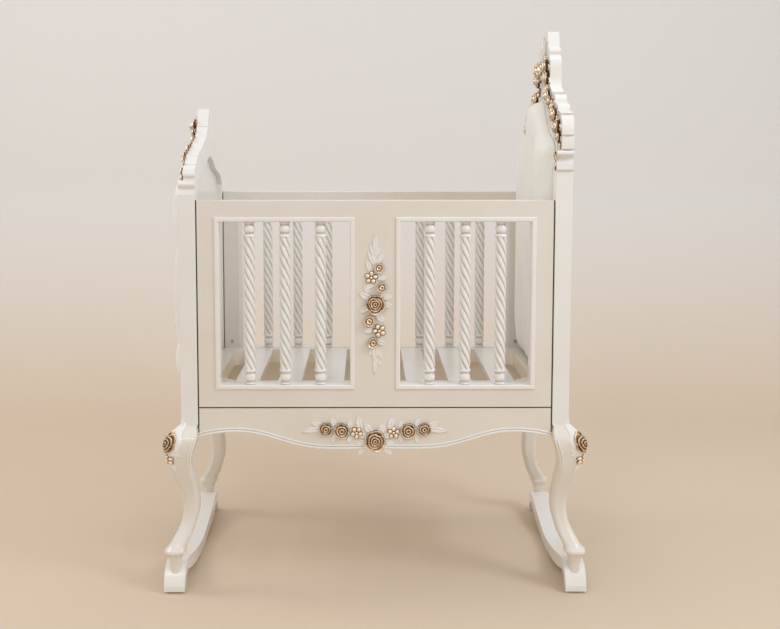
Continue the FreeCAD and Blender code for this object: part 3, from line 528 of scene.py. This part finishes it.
    def leaf(self, x, y, length, width, degrees, lobes=3, lift=0.2, curl=0.05, finish=WHITE):
        """Lobed leaf with a sunk midrib and a raised border that grows from (x, y)."""
        angle = math.radians(degrees)
        ways = (math.cos(angle), math.sin(angle))
        rows, half_columns = 22, 6
        rings, reliefs = [], []
        for row in range(rows + 1):
            share = row / rows
            swell = max(0.0, math.sin(math.pi * (0.07 + 0.93 * share) ** 0.85)) ** 0.8
            lobe = 1 - LOBE_NOTCH * ((lobes * share) % 1.0) ** 2
            half = max(LEAF_POINT * width, width / 2 * swell * lobe)
            arched = 0.45 + 0.55 * math.sin(math.pi * share ** 0.6)
            body = lift * width * arched + curl * length * share ** 3
            ring, tones = [], []
            for column in range(-half_columns, half_columns + 1):
                across = column / half_columns
                midrib = MIDRIB_DEPTH * ridge(across, MIDRIB_WIDTH)
                border = BORDER_HIGH * ridge(abs(across) - BORDER_PLACE, BORDER_WIDTH)
                relief = 0.85 - 0.35 * across ** 2 - midrib + border
                ring.append((across * half, max(LEAF_THIN, body * relief)))
                # Tone darker along the sunk midrib and at the sunk edges: wash with painted shade;
                # only gilded leaves show it
                tones.append(0.5 + 0.45 * relief)
            ring += [(half, self.SUNK), (-half, self.SUNK)]
            tones += [0.25, 0.25]
            rings.append([(x + share * length * ways[0] - across * ways[1],
                           y + share * length * ways[1] + across * ways[0], level)
                          for across, level in ring])
            reliefs.append(tones)
        self.shell(rings, reliefs, finish)

    def shield(self, top, bottom, half, thick):
        """Smooth shell with a point at the top, fluted along both sides and fading downwards."""
        rows, half_columns = 28, 12
        rings, reliefs = [], []
        for row in range(rows + 1):
            share = row / rows
            narrowed = max(0.0, share - SHIELD_WIDEST) / (1 - SHIELD_WIDEST)
            wide = half * min(1.0, 0.04 + share / SHIELD_WIDEST) ** 0.9 * (1 - 0.45 * narrowed)
            body = thick * min(1.0, 0.2 + 4 * share) * (1 - share) ** 0.8
            ring = []
            for column in range(-half_columns, half_columns + 1):
                across = column / half_columns
                flute = FLUTE_DEPTH * ridge(abs(across) - FLUTE_PLACE, FLUTE_WIDTH)
                flute *= min(1.0, 3 * share)
                rim = (1 - abs(across) ** 6) ** 0.5
                ring.append((across * wide, max(SHIELD_THIN, body * (1 - flute) * rim)))
            ring += [(wide, self.SUNK), (-wide, self.SUNK)]
            height = top + (bottom - top) * share
            rings.append([(across, height, level) for across, level in ring])
            reliefs.append([SHIELD_TONE] * len(ring))
        self.shell(rings, reliefs, self.WHITE)

    def carve(self, name, place, replaced=()):
        """Set the motifs on the cradle; place turns millimetres on the ground into a point."""
        points = [place(*point) for point in self.points]
        piece = piece_from(name, points, self.faces, [antique_gold, carved_white])
        mesh = piece.data
        mesh.polygons.foreach_set("material_index", self.finish)
        shade_smooth(mesh)
        relief = mesh.attributes.new("relief", "FLOAT", "POINT")
        relief.data.foreach_set("value", self.relief)
        outward_normals(mesh)
        if replaced:
            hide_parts(*replaced)


# Painted shade: dark strips deep in the open joint lines, in millimetres; their back and front are
# measured from the face
LINE_WIDTH = 3.2
SHADE_STRIP_BACK, SHADE_STRIP_FRONT, SHADE_STRIP_SLACK = 9.9, 3.5, 0.05
SHADE_STRIP_DROP = 45                    # below the side frame, beside the apron
BOX_FACES = ((0, 1, 2, 3), (4, 5, 6, 7), (0, 1, 5, 4), (1, 2, 6, 5), (2, 3, 7, 6), (3, 0, 4, 7))


def joint_shade_strips():
    """Dark strips deep in the open lines between the side frames, their posts and aprons: painted
    shade in the gaps.
    """
    for side, y_sign in SIDES.items():
        face = abs(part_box(f"{side}_bottom_rail")[0 if y_sign < 0 else 1].y) / MM
        stile_low, stile_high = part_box(f"{side}_head_stile")
        end_x, bottom, top = stile_high.x / MM, stile_low.z / MM, stile_high.z / MM
        bars = [(-end_x + LINE_WIDTH, end_x - LINE_WIDTH,
                 bottom - LINE_WIDTH + SHADE_STRIP_SLACK, bottom - SHADE_STRIP_SLACK)]
        bars += [(x - LINE_WIDTH + SHADE_STRIP_SLACK, x - SHADE_STRIP_SLACK,
                  bottom - SHADE_STRIP_DROP, top - SHADE_STRIP_SLACK) for x in (end_x, -end_x + LINE_WIDTH)]
        points, faces = [], []
        for left, right, low, high in bars:
            first = len(points)
            for depth in (face - SHADE_STRIP_BACK, face - SHADE_STRIP_FRONT):
                points += [(x * MM, y_sign * depth * MM, z * MM)
                           for x, z in ((left, low), (right, low), (right, high), (left, high))]
            faces += [tuple(first + index for index in corners) for corners in BOX_FACES]
        shade_strip = piece_from(f"{side}_joint_shade_strip", points, faces, [joint_shadow])
        outward_normals(shade_strip.data)


# Rose spray on a centre stile: x across and y up from the floor, as seen from outside.
# Leaves: x, y, length, width, degrees
SPRAY_TIP_LEAVES = (
    (0, 806, 45, 13, 90), (-1, 799, 29, 11, 112), (1, 797, 29, 11, 66), (-2, 779, 34, 12, 116),
    (2, 777, 33, 12, 58), (-9, 760, 34, 13, 112), (0, 768, 46, 10, 92))
SPRAY_LEAVES = (
    (6, 745, 24, 14, 8), (-5, 732, 24, 14, 208), (13, 703, 27, 12, 42), (17, 697, 27, 13, 22),
    (18, 684, 22, 14, 350), (-14, 698, 26, 17, 150), (-16, 676, 24, 15, 205), (6, 664, 24, 15, 290),
    (-6, 624, 22, 16, 190), (4, 598, 22, 14, 335), (4, 655, 22, 14, 330), (-16, 712, 20, 12, 120))
SPRAY_TAIL_LEAVES = (
    (0, 590, 40, 15, 268), (-2, 582, 24, 11, 238), (4, 576, 24, 11, 300), (-1, 566, 48, 10, 270),
    (4, 552, 16, 8, 310))
# Blossoms: x, y, radius, then the seed of a rose or bud, or the turn of a flower
SPRAY_ROSE = (0, 685, 25, 4)
SPRAY_BUDS = ((9, 771, 12, 5), (15.5, 725, 12.5, 6), (-13.7, 645, 13.7, 7), (-4.6, 594, 13, 8))
SPRAY_FLOWERS = ((-9.2, 748, 16.5, 0.2), (9.2, 622, 17, 0.7))


def rose_spray():
    carving = Carving()
    for row in SPRAY_TIP_LEAVES:
        carving.leaf(*row, lobes=2, lift=0.26, curl=0.02)
    for row in SPRAY_LEAVES:
        carving.leaf(*row)
    for row in SPRAY_TAIL_LEAVES:
        carving.leaf(*row, lobes=2)
    carving.rose(*SPRAY_ROSE)
    for row in SPRAY_BUDS:
        carving.bud(*row)
    for row in SPRAY_FLOWERS:
        carving.flower(*row)
    return carving


# Garland on a side apron, from its middle to the right; the left half mirrors it
GARLAND_LEAVES = (
    (122, 387, 52, 15, 352), (124, 391, 32, 13, 22), (34, 385, 33, 17, 76), (8, 372, 34, 17, 58),
    (18, 366, 26, 15, 18), (97, 392, 22, 13, 72), (60, 388, 22, 12, 84), (97, 374, 22, 12, 278),
    (58, 370, 20, 12, 290), (14, 346, 36, 15, 322), (22, 356, 26, 13, 345))
GARLAND_FLOWER = (44, 377, 16, 0.3)
GARLAND_ROSES = ((79, 381.5, 19.5, 11, 0.62), (117, 385.5, 17, 15, 0.72))   # seed, height
GARLAND_MIDDLE_LEAF = (0, 346, 25, 17, 270)
GARLAND_MIDDLE_ROSE = (0, 358, 26.5, 18)


def mirrored(degrees, side):
    """Direction of a leaf on the right (1) or left (-1) half of a garland."""
    return degrees if side > 0 else 180 - degrees


def apron_garland():
    carving = Carving()
    for side in (-1, 1):
        for x, y, length, width, degrees in GARLAND_LEAVES:
            carving.leaf(side * x, y, length, width, mirrored(degrees, side), lobes=2)
        x, y, radius, turn = GARLAND_FLOWER
        carving.flower(side * x, y, radius, turn * side)
        for x, y, radius, seed, height in GARLAND_ROSES:
            carving.rose(side * x, y, radius, seed + side, height)
    carving.leaf(*GARLAND_MIDDLE_LEAF, lobes=2)
    carving.rose(*GARLAND_MIDDLE_ROSE)
    return carving


# Garlands on the crests: x across the cradle, y the height, radius
HEAD_ROSES = (
    (0, 1240, 28), (24, 1268, 16), (48, 1250, 20), (62, 1222, 19), (67, 1195, 18), (88, 1176, 19),
    (110, 1162, 16), (134, 1150, 19), (157, 1136, 16), (180, 1127, 19), (201, 1114, 15),
    (216, 1099, 19), (229, 1075, 14), (234, 1056, 10))
HEAD_TAIL = ((236, 1034, 9), (236, 1018, 8), (236, 1005, 7))
FOOT_ROSES = (
    (0, 1104, 20), (16, 1112, 9), (32, 1088, 13), (52, 1070, 11), (74, 1059, 13), (97, 1052, 11),
    (120, 1045, 13), (144, 1038, 11), (168, 1030, 13), (189, 1022, 10), (205, 1012, 12),
    (217, 996, 10), (222, 980, 8))
# Leaves over the middle rose: length, width, degrees
HEAD_BOUQUET = ((74, 26, 90), (66, 24, 118), (66, 24, 62), (40, 17, 146), (40, 17, 34))
FOOT_BOUQUET = ((30, 13, 90), (24, 12, 125), (24, 12, 55))
HEAD_RELIEF, TAIL_RELIEF, FOOT_RELIEF = 1.0, 0.66, 1.15
CREST_SEED = 20
LEAF_SPLAY = 58                     # degrees to either side of the garland's run
WHITE_LEAF_RADIUS = 15              # leaves of larger roses are white, the others gilded


def crest_garland(roses, bouquet, relief):
    """Roses thick along a crest from its middle to both posts, with leaves and flowers between."""
    carving = Carving()
    for side in (-1, 1):
        for index, (x, y, radius) in enumerate(roses):
            if x == 0 and side < 0:
                continue
            if index % 3 == 1:
                carving.flower(side * x, y, radius, 0.4 * index)
            else:
                carving.rose(side * x, y, radius, CREST_SEED + index, relief)
        for (x, y, radius), (next_x, next_y, _) in zip(roses, roses[1:]):
            along = math.degrees(math.atan2(next_y - y, next_x - x))
            finish = Carving.WHITE if radius > WHITE_LEAF_RADIUS else Carving.GOLD
            for splay in (LEAF_SPLAY, -LEAF_SPLAY):
                carving.leaf(side * x, y, 1.2 * radius + 7, 0.55 * radius + 6,
                             mirrored(along + splay, side), lobes=2, lift=0.25, finish=finish)
    middle_x, middle_y, middle_radius = roses[0]
    for length, width, degrees in bouquet:
        carving.leaf(middle_x, middle_y + 0.6 * middle_radius, length, width, degrees,
                     lobes=2, lift=0.5)
    return carving


def on_side(y_sign):
    """Place a carving on the face of a side frame or apron."""
    face = -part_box("front_bottom_rail")[0].y

    def place(x, y, z):
        return Vector((-y_sign * x * MM, y_sign * (face + z * MM), y * MM))
    return place


def on_crest(node):
    """Place a carving on the foot side of an end, level with that face of a node."""
    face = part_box(node)[0].x

    def place(x, y, z):
        return Vector((face - z * MM, -x * MM, y * MM))
    return place


# Knees of the cabriole legs: heights from the floor in millimetres
KNEE_REACH = 0.25                   # from outside the leg to its post's corner, in metres
KNEE_LEAN = 0.6                     # how far the relief leans from the surface to the diagonal
KNEE_SHIELD = (409, 318, 26, 4.2)   # top, bottom, half width, thickness
KNEE_LEAVES = (                     # height, length, width, degrees
    (346, 30, 13, 325), (346, 30, 13, 215), (346, 24, 13, 348), (346, 24, 13, 192),
    (314, 26, 11, 292), (314, 26, 11, 248))


def surface_of(*names):
    """Search tree over the surface of some nodes."""
    points, faces = [], []
    for name in names:
        mesh = nodes[name].data
        first = len(points)
        points += [vertex.co.copy() for vertex in mesh.vertices]
        faces += [[first + index for index in face.vertices] for face in mesh.polygons]
    return BVHTree.FromPolygons(points, faces)


def on_knee(end, side):
    """Wrap a carving round the outer corner of a leg; x runs round the corner, y is the height."""
    x_sign, y_sign = ENDS[end], SIDES[side]
    surface = surface_of(f"{end}_{side}_leg", f"{end}_{side}_post")
    out = Vector((x_sign, y_sign, 0)).normalized()
    across = Vector((-x_sign, y_sign, 0)).normalized()
    low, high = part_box(f"{end}_{side}_post")
    corner = Vector((low.x if x_sign < 0 else high.x, low.y if y_sign < 0 else high.y, 0))

    def place(x, y, z):
        start = corner + across * (x * MM) + Vector((0, 0, y * MM)) + out * KNEE_REACH
        hit, normal, _, _ = surface.ray_cast(start, -out)
        if hit is None:
            hit, normal, _, _ = surface.find_nearest(start - out * KNEE_REACH)
        lean = (normal + out * KNEE_LEAN).normalized()
        return hit + lean * (z * MM)
    return place


def knee_carving(end, side):
    """White shell over the shoulder of a leg, a long rose on the knee and a flower below."""
    carving = Carving()
    carving.shield(*KNEE_SHIELD)
    for height, length, width, degrees in KNEE_LEAVES:
        carving.leaf(0, height, length, width, degrees, lobes=2, lift=0.16, curl=0.02)
    carving.rose(0, 360, radius=17.5, seed=31, height=0.6, stretch=1.45, rounds=FULL_ROSE,
                 tone_offset=-0.1)
    carving.flower(0, 321, radius=13.5, turn=0.4)
    carving.carve(f"{end}_{side}_knee_carving", on_knee(end, side))


# Beads down a leg, in millimetres
LEG_BEADS = ((2.6, 2.4), (8.0, 1.8))    # step in from the leg's inner edge, radius
BEAD_ROWS, BEAD_SPOKES = 24, 10
BEAD_TOP, BEAD_RUN = 372, 84
BEAD_SWEEP = 13                     # how far the leg's edge draws in under the apron
BEAD_FADE, BEAD_THIN = 0.45, 0.75   # share of the run where a bead starts to thin, and how much
BEAD_RISE = 0.2                     # of the radius, out of the surface
RAY_START_X, RAY_START_Y = 0.9, 0.6     # places outside the legs, in metres


def bead_tube(name, paths):
    """Round beads along paths of (point, radius), closed at both ends."""
    points, faces = [], []
    for path in paths:
        first = len(points)
        for index, (spot, radius) in enumerate(path):
            before = path[max(index - 1, 0)][0]
            after = path[min(index + 1, len(path) - 1)][0]
            along = (after - before).normalized()
            side = along.orthogonal().normalized()
            other = along.cross(side)
            for k in range(BEAD_SPOKES):
                turn = FULL_TURN * k / BEAD_SPOKES
                points.append(spot + side * (radius * math.cos(turn))
                              + other * (radius * math.sin(turn)))
        faces += strip_faces(first, BEAD_SPOKES, len(path))
        faces.append(tuple(range(first, first + BEAD_SPOKES)))
        faces.append(tuple(range(len(points) - BEAD_SPOKES, len(points))))
    piece = piece_from(name, points, faces, [carved_white])
    shade_smooth(piece.data)
    outward_normals(piece.data)


def leg_beads(end, side):
    """The apron's double bead, carried on down the inner edges of a leg's two faces."""
    x_sign, y_sign = ENDS[end], SIDES[side]
    surface = surface_of(f"{end}_{side}_leg")
    low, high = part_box(f"{end}_{side}_post")
    inner = Vector((low.x if x_sign > 0 else high.x, low.y if y_sign > 0 else high.y, 0))
    paths = []
    for offset, radius in LEG_BEADS:
        for along_x in (True, False):
            path = []
            for row in range(BEAD_ROWS + 1):
                share = row / BEAD_ROWS
                height = (BEAD_TOP - BEAD_RUN * share) * MM
                drawn = BEAD_SWEEP * math.sin(math.pi / 2 * min(1.0, share * 1.5)) ** 1.6
                step = (drawn + offset) * MM
                if along_x:
                    start = Vector((inner.x + x_sign * step, y_sign * RAY_START_Y, height))
                    ray = Vector((0, -y_sign, 0))
                else:
                    start = Vector((x_sign * RAY_START_X, inner.y + y_sign * step, height))
                    ray = Vector((-x_sign, 0, 0))
                hit, _, _, _ = surface.ray_cast(start, ray)
                if hit is None:
                    continue
                faded = max(0.0, share - BEAD_FADE) / (1 - BEAD_FADE)
                thin = radius * MM * (1 - BEAD_THIN * faded)
                path.append((hit - ray * (BEAD_RISE * thin), thin))
            if len(path) > 3:
                paths.append(path)
    bead_tube(f"{end}_{side}_leg_beads", paths)


# Upholstery
PAD_VOXEL = 0.006
EDGE_PASSES, FACE_PASSES, LAST_PASSES = 3, 40, 6      # of smoothing
FOOT_PLUMP = 1.25                   # the foot pad swells past its post
HELD_DEPTH = 0.009                  # of the pad's back edge that stays put
SWELL_CAP = 0.005
SWELL_FRAMES = 20
COVER_STIFFNESS, COVER_BENDING, COVER_MASS, COVER_PRESSURE = 18, 0.6, 0.3, 4.0
SEAM_HALF = 0.004                   # half width of the strip that is held along a seam
SEAM_DEPTH, SEAM_REACH = 0.0035, 0.007
SEAM_START, SEAM_FULL = 0.01, 0.03  # heights over the back where a seam starts, and is deepest
CHANNELS = (1 / 3, 2 / 3)           # upright seams of the head pad, as shares of its width
PLEATS = (0.579, 0.811)             # heights of the foot pad's level seams
WELT_RADIUS, WELT_HEIGHT = 0.0028, 0.0045
WELT_PROUD, WELT_BACK = 0.0002, 0.0001
WELT_STEP, WELT_SPOKES = 0.004, 10
BACK_SLACK = 0.0002


def bake_modifiers(piece):
    """Replace a piece's mesh by its evaluated one."""
    graph = bpy.context.evaluated_depsgraph_get()
    mesh = bpy.data.meshes.new_from_object(piece.evaluated_get(graph))
    piece.modifiers.clear()
    piece.data = mesh


def pad_mesh(name, node):
    """Closed, evenly meshed copy of a pad to swell."""
    piece = bpy.data.objects.new(name, nodes[node].data.copy())
    bpy.context.scene.collection.objects.link(piece)
    remesh = piece.modifiers.new("even mesh", "REMESH")
    remesh.mode = "VOXEL"
    remesh.voxel_size = PAD_VOXEL
    bake_modifiers(piece)
    return piece


def swell(piece, back_x, face_sign, seams):
    """Blow the pad up with cloth held at its back and along its seams, then cap the movement."""
    rest = [vertex.co.copy() for vertex in piece.data.vertices]
    held = piece.vertex_groups.new(name="held")
    for vertex in piece.data.vertices:
        at_back = (vertex.co.x - back_x) * face_sign < HELD_DEPTH
        if at_back or any(abs(vertex.co[axis] - place) < SEAM_HALF for axis, place in seams):
            held.add([vertex.index], 1.0, "REPLACE")
    cloth = piece.modifiers.new("cover", "CLOTH")
    cloth.settings.quality = 4
    cloth.settings.mass = COVER_MASS
    cloth.settings.tension_stiffness = COVER_STIFFNESS
    cloth.settings.compression_stiffness = COVER_STIFFNESS
    cloth.settings.bending_stiffness = COVER_BENDING
    cloth.settings.use_pressure = True
    cloth.settings.uniform_pressure_force = COVER_PRESSURE
    cloth.settings.vertex_group_mass = "held"
    cloth.settings.effector_weights.gravity = 0.0
    cloth.collision_settings.use_collision = False
    cloth.point_cache.frame_start = 1
    cloth.point_cache.frame_end = SWELL_FRAMES
    for step in range(1, SWELL_FRAMES + 1):
        bpy.context.scene.frame_set(step)
    bake_modifiers(piece)
    bpy.context.scene.frame_set(1)
    for vertex, start in zip(piece.data.vertices, rest):
        move = vertex.co - start
        if move.length > SWELL_CAP:
            vertex.co = start + move.normalized() * SWELL_CAP


def smooth_pad(piece, passes, back_x=None, face_sign=0):
    """Even out a pad, without its back edge if the place of the back is given."""
    work = bmesh.new()
    work.from_mesh(piece.data)
    loose = [vertex for vertex in work.verts
             if back_x is None or (vertex.co.x - back_x) * face_sign > HELD_DEPTH]
    for _ in range(passes):
        bmesh.ops.smooth_vert(work, verts=loose, factor=0.5,
                              use_axis_x=True, use_axis_y=True, use_axis_z=True)
    work.to_mesh(piece.data)
    work.free()


def sew(piece, back_x, face_sign, seams):
    """Draw the seams in as soft valleys."""
    for vertex in piece.data.vertices:
        height = (vertex.co.x - back_x) * face_sign
        if height < SEAM_START:
            continue
        pull = max(ridge(abs(vertex.co[axis] - place), SEAM_REACH) for axis, place in seams)
        vertex.co.x -= face_sign * SEAM_DEPTH * pull * min(1.0, height / SEAM_FULL)


def upholstered(name, node, back_x, face_sign, seams, plump=1.0):
    """Soft pad that stands for a pad of the frame; each seam is an axis and a place on it."""
    piece = pad_mesh(name, node)
    for vertex in piece.data.vertices:
        vertex.co.x = back_x + (vertex.co.x - back_x) * plump
    smooth_pad(piece, EDGE_PASSES)
    smooth_pad(piece, FACE_PASSES, back_x, face_sign)
    swell(piece, back_x, face_sign, seams)
    smooth_pad(piece, LAST_PASSES, back_x, face_sign)
    sew(piece, back_x, face_sign, seams)
    subdivide = piece.modifiers.new("soft surface", "SUBSURF")
    subdivide.levels = 1
    subdivide.render_levels = 1
    bake_modifiers(piece)
    shade_smooth(piece.data)
    piece.data.materials.clear()
    piece.data.materials.append(cream_hide)
    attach(piece, "root")
    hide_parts(node)


def welt(name, node, back_x, face_sign):
    """Half-round cord round the back edge of a pad, flat against the end board."""
    edge = [vertex.co for vertex in nodes[node].data.vertices
            if abs(vertex.co.x - back_x) < BACK_SLACK]
    middle = sum((spot.z for spot in edge), 0.0) / len(edge)
    edge.sort(key=lambda spot: math.atan2(spot.z - middle, spot.y))
    outline = [edge[0]]
    for spot in edge[1:]:
        if (spot - outline[-1]).length > WELT_STEP:
            outline.append(spot)
    points = []
    count = len(outline)
    for index, spot in enumerate(outline):
        along = (outline[(index + 1) % count] - outline[index - 1]).normalized()
        inward = Vector((0, -along.z, along.y))
        centre = spot - inward * WELT_PROUD + Vector((face_sign * WELT_BACK, 0, 0))
        for k in range(WELT_SPOKES):
            turn = math.pi * k / (WELT_SPOKES - 1)
            rise = Vector((face_sign * WELT_HEIGHT * math.sin(turn), 0, 0))
            points.append(centre + inward * (WELT_RADIUS * math.cos(turn)) + rise)
    faces = strip_faces(0, WELT_SPOKES, count, closed=True)
    cord = piece_from(name, points, faces, [cream_hide])
    shade_smooth(cord.data)
    outward_normals(cord.data)


def upholstery():
    """Head pad with upright channels, foot pad with level pleats; both face the foot end."""
    head_low, head_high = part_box("head_pad")
    width = head_high.y - head_low.y
    channels = [(1, head_low.y + width * share) for share in CHANNELS]
    upholstered("head_pad_upholstery", "head_pad", head_high.x, -1, channels)
    welt("head_pad_welt", "head_pad", head_high.x, -1)
    _, foot_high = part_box("foot_pad")
    pleats = [(2, height) for height in PLEATS]
    upholstered("foot_pad_upholstery", "foot_pad", foot_high.x, -1, pleats, FOOT_PLUMP)
    welt("foot_pad_welt", "foot_pad", foot_high.x, -1)


# Floor and backdrop
FLOOR_COLOUR = (0.66, 0.53, 0.4, 1)
WALL_COLOUR = (0.77, 0.755, 0.74, 1)
WALL_BAND = (0.0, 0.8)              # heights between which the floor's colour turns into the wall's
SWEEP_ROUGHNESS = 0.7
SWEEP_FRONT, SWEEP_BEND, SWEEP_RADIUS = -6.0, 1.2, 0.9
SWEEP_TOP, SWEEP_HALF, SWEEP_STEPS = 5.0, 7.0, 12


def sweep_material():
    """Matt paper that runs from a warm floor to a pale wall and lets light through from behind."""
    material = bpy.data.materials.new("pale sweep")
    material.use_nodes = True
    tree = material.node_tree
    shader = tree.nodes["Principled BSDF"]
    shader.inputs["Roughness"].default_value = SWEEP_ROUGHNESS
    colour = graded(tree, "Object", WALL_BAND, FLOOR_COLOUR, WALL_COLOUR)
    tree.links.new(colour, shader.inputs["Base Color"])
    clear = tree.nodes.new("ShaderNodeBsdfTransparent")
    sides = tree.nodes.new("ShaderNodeMixShader")
    behind = tree.nodes.new("ShaderNodeNewGeometry").outputs["Backfacing"]
    tree.links.new(behind, sides.inputs["Fac"])
    tree.links.new(shader.outputs["BSDF"], sides.inputs[1])
    tree.links.new(clear.outputs["BSDF"], sides.inputs[2])
    tree.links.new(sides.outputs["Shader"], tree.nodes["Material Output"].inputs["Surface"])
    return material


def studio():
    """Pale sweep: a warm floor that curves up into a cooler backdrop, seen from inside only."""
    profile = [(SWEEP_FRONT, 0.0), (SWEEP_BEND, 0.0)]
    for step in range(1, SWEEP_STEPS + 1):
        turn = math.pi / 2 * step / SWEEP_STEPS
        profile.append((SWEEP_BEND + SWEEP_RADIUS * math.sin(turn),
                        SWEEP_RADIUS - SWEEP_RADIUS * math.cos(turn)))
    profile.append((SWEEP_BEND + SWEEP_RADIUS, SWEEP_TOP))
    points = [(x, y, z) for x in (-SWEEP_HALF, SWEEP_HALF) for y, z in profile]
    count = len(profile)
    faces = [(k, count + k, count + k + 1, k + 1) for k in range(count - 1)]
    mesh = bpy.data.meshes.new("studio_sweep")
    mesh.from_pydata(points, [], faces)
    shade_smooth(mesh)
    mesh.materials.append(sweep_material())
    sweep = bpy.data.objects.new("studio_sweep", mesh)
    bpy.context.scene.collection.objects.link(sweep)


# Light: each lamp's name, place, aim, size, power in watts and colour
LAMPS = (
    ("ceiling light", (0.1, 0.0, 4.6), (0, 0, 0.6), (1.8, 1.2), 14.0, (1.0, 0.99, 0.97)),
    ("front fill", (-1.0, -3.2, 3.0), (0, 0, 0.7), (0.8, 0.6), 9.0, (1.0, 0.975, 0.94)),
    ("right window", (2.0, -1.3, 2.2), (0.0, 0, 1.0), (0.8, 0.9), 25.0, (0.8, 0.89, 1.0)),
    ("left window", (-2.6, 0.2, 2.4), (0.3, 0, 0.9), (0.9, 1.2), 18.0, (0.98, 0.985, 1.0)))
SKY_STRENGTH = 0.79
SKY_LEVEL_COLOUR, SKY_TOP_COLOUR = (0.97, 0.93, 0.885, 1), (1.0, 1.0, 1.0, 1)
SKY_BAND = (-0.1, 0.7)


def lamp(name, spot, aim, size, power, colour):
    """Rectangular lamp turned to its aim."""
    data = bpy.data.lights.new(name, "AREA")
    data.shape = "RECTANGLE"
    data.size, data.size_y = size
    data.energy = power
    data.color = colour
    holder = bpy.data.objects.new(name, data)
    holder.location = spot
    holder.rotation_euler = (Vector(aim) - Vector(spot)).to_track_quat("-Z", "Y").to_euler()
    bpy.context.scene.collection.objects.link(holder)


def lighting():
    """Soft room light: white from above, warmer level with the cradle."""
    world = bpy.data.worlds.new("studio")
    world.use_nodes = True
    tree = world.node_tree
    sky = tree.nodes["Background"]
    sky.inputs["Strength"].default_value = SKY_STRENGTH
    colour = graded(tree, "Generated", SKY_BAND, SKY_LEVEL_COLOUR, SKY_TOP_COLOUR)
    tree.links.new(colour, sky.inputs["Color"])
    bpy.context.scene.world = world
    for row in LAMPS:
        lamp(*row)


# Camera, fitted to the photograph; pixels, metres and radians
FRAME_WIDTH, FRAME_HEIGHT = 780, 629
FOCAL = 1030.1
AXIS_PIXEL = (369.8, 234.5)         # pixel that the camera's axis runs through
EYE = Vector((-0.0189, -2.6386, 1.0590))
TILT = math.radians(5.0)
YAW = -0.0026
SENSOR_WIDTH = 36.0                 # millimetres


def camera():
    data = bpy.data.cameras.new("camera")
    data.sensor_width = SENSOR_WIDTH
    data.lens = FOCAL * SENSOR_WIDTH / FRAME_WIDTH
    data.shift_x = (FRAME_WIDTH / 2 - AXIS_PIXEL[0]) / FRAME_WIDTH
    data.shift_y = (AXIS_PIXEL[1] - FRAME_HEIGHT / 2) / FRAME_WIDTH
    holder = bpy.data.objects.new("camera", data)
    holder.location = EYE
    holder.rotation_euler = (math.pi / 2 - TILT, 0, YAW)
    bpy.context.scene.collection.objects.link(holder)
    bpy.context.scene.camera = holder


dress_frame()
joint_shade_strips()
spray, garland = rose_spray(), apron_garland()
for side_name, sign in SIDES.items():
    spray.carve(f"{side_name}_rose_spray_carving", on_side(sign), [f"{side_name}_rose_spray"])
    garland.carve(f"{side_name}_apron_garland_carving", on_side(sign),
                  [f"{side_name}_apron_garland"])
    for end_name in ENDS:
        knee_carving(end_name, side_name)
        leg_beads(end_name, side_name)
crest_garland(HEAD_ROSES, HEAD_BOUQUET, HEAD_RELIEF).carve(
    "head_garland_carving", on_crest("head_panel"), ["head_garland"])
crest_garland(HEAD_TAIL, (), TAIL_RELIEF).carve("head_garland_tails", on_crest("head_crest"))
crest_garland(FOOT_ROSES, FOOT_BOUQUET, FOOT_RELIEF).carve(
    "foot_garland_carving", on_crest("foot_panel"), ["foot_garland"])
upholstery()
studio()
lighting()
camera()
bpy.context.scene.view_settings.view_transform = "Standard"
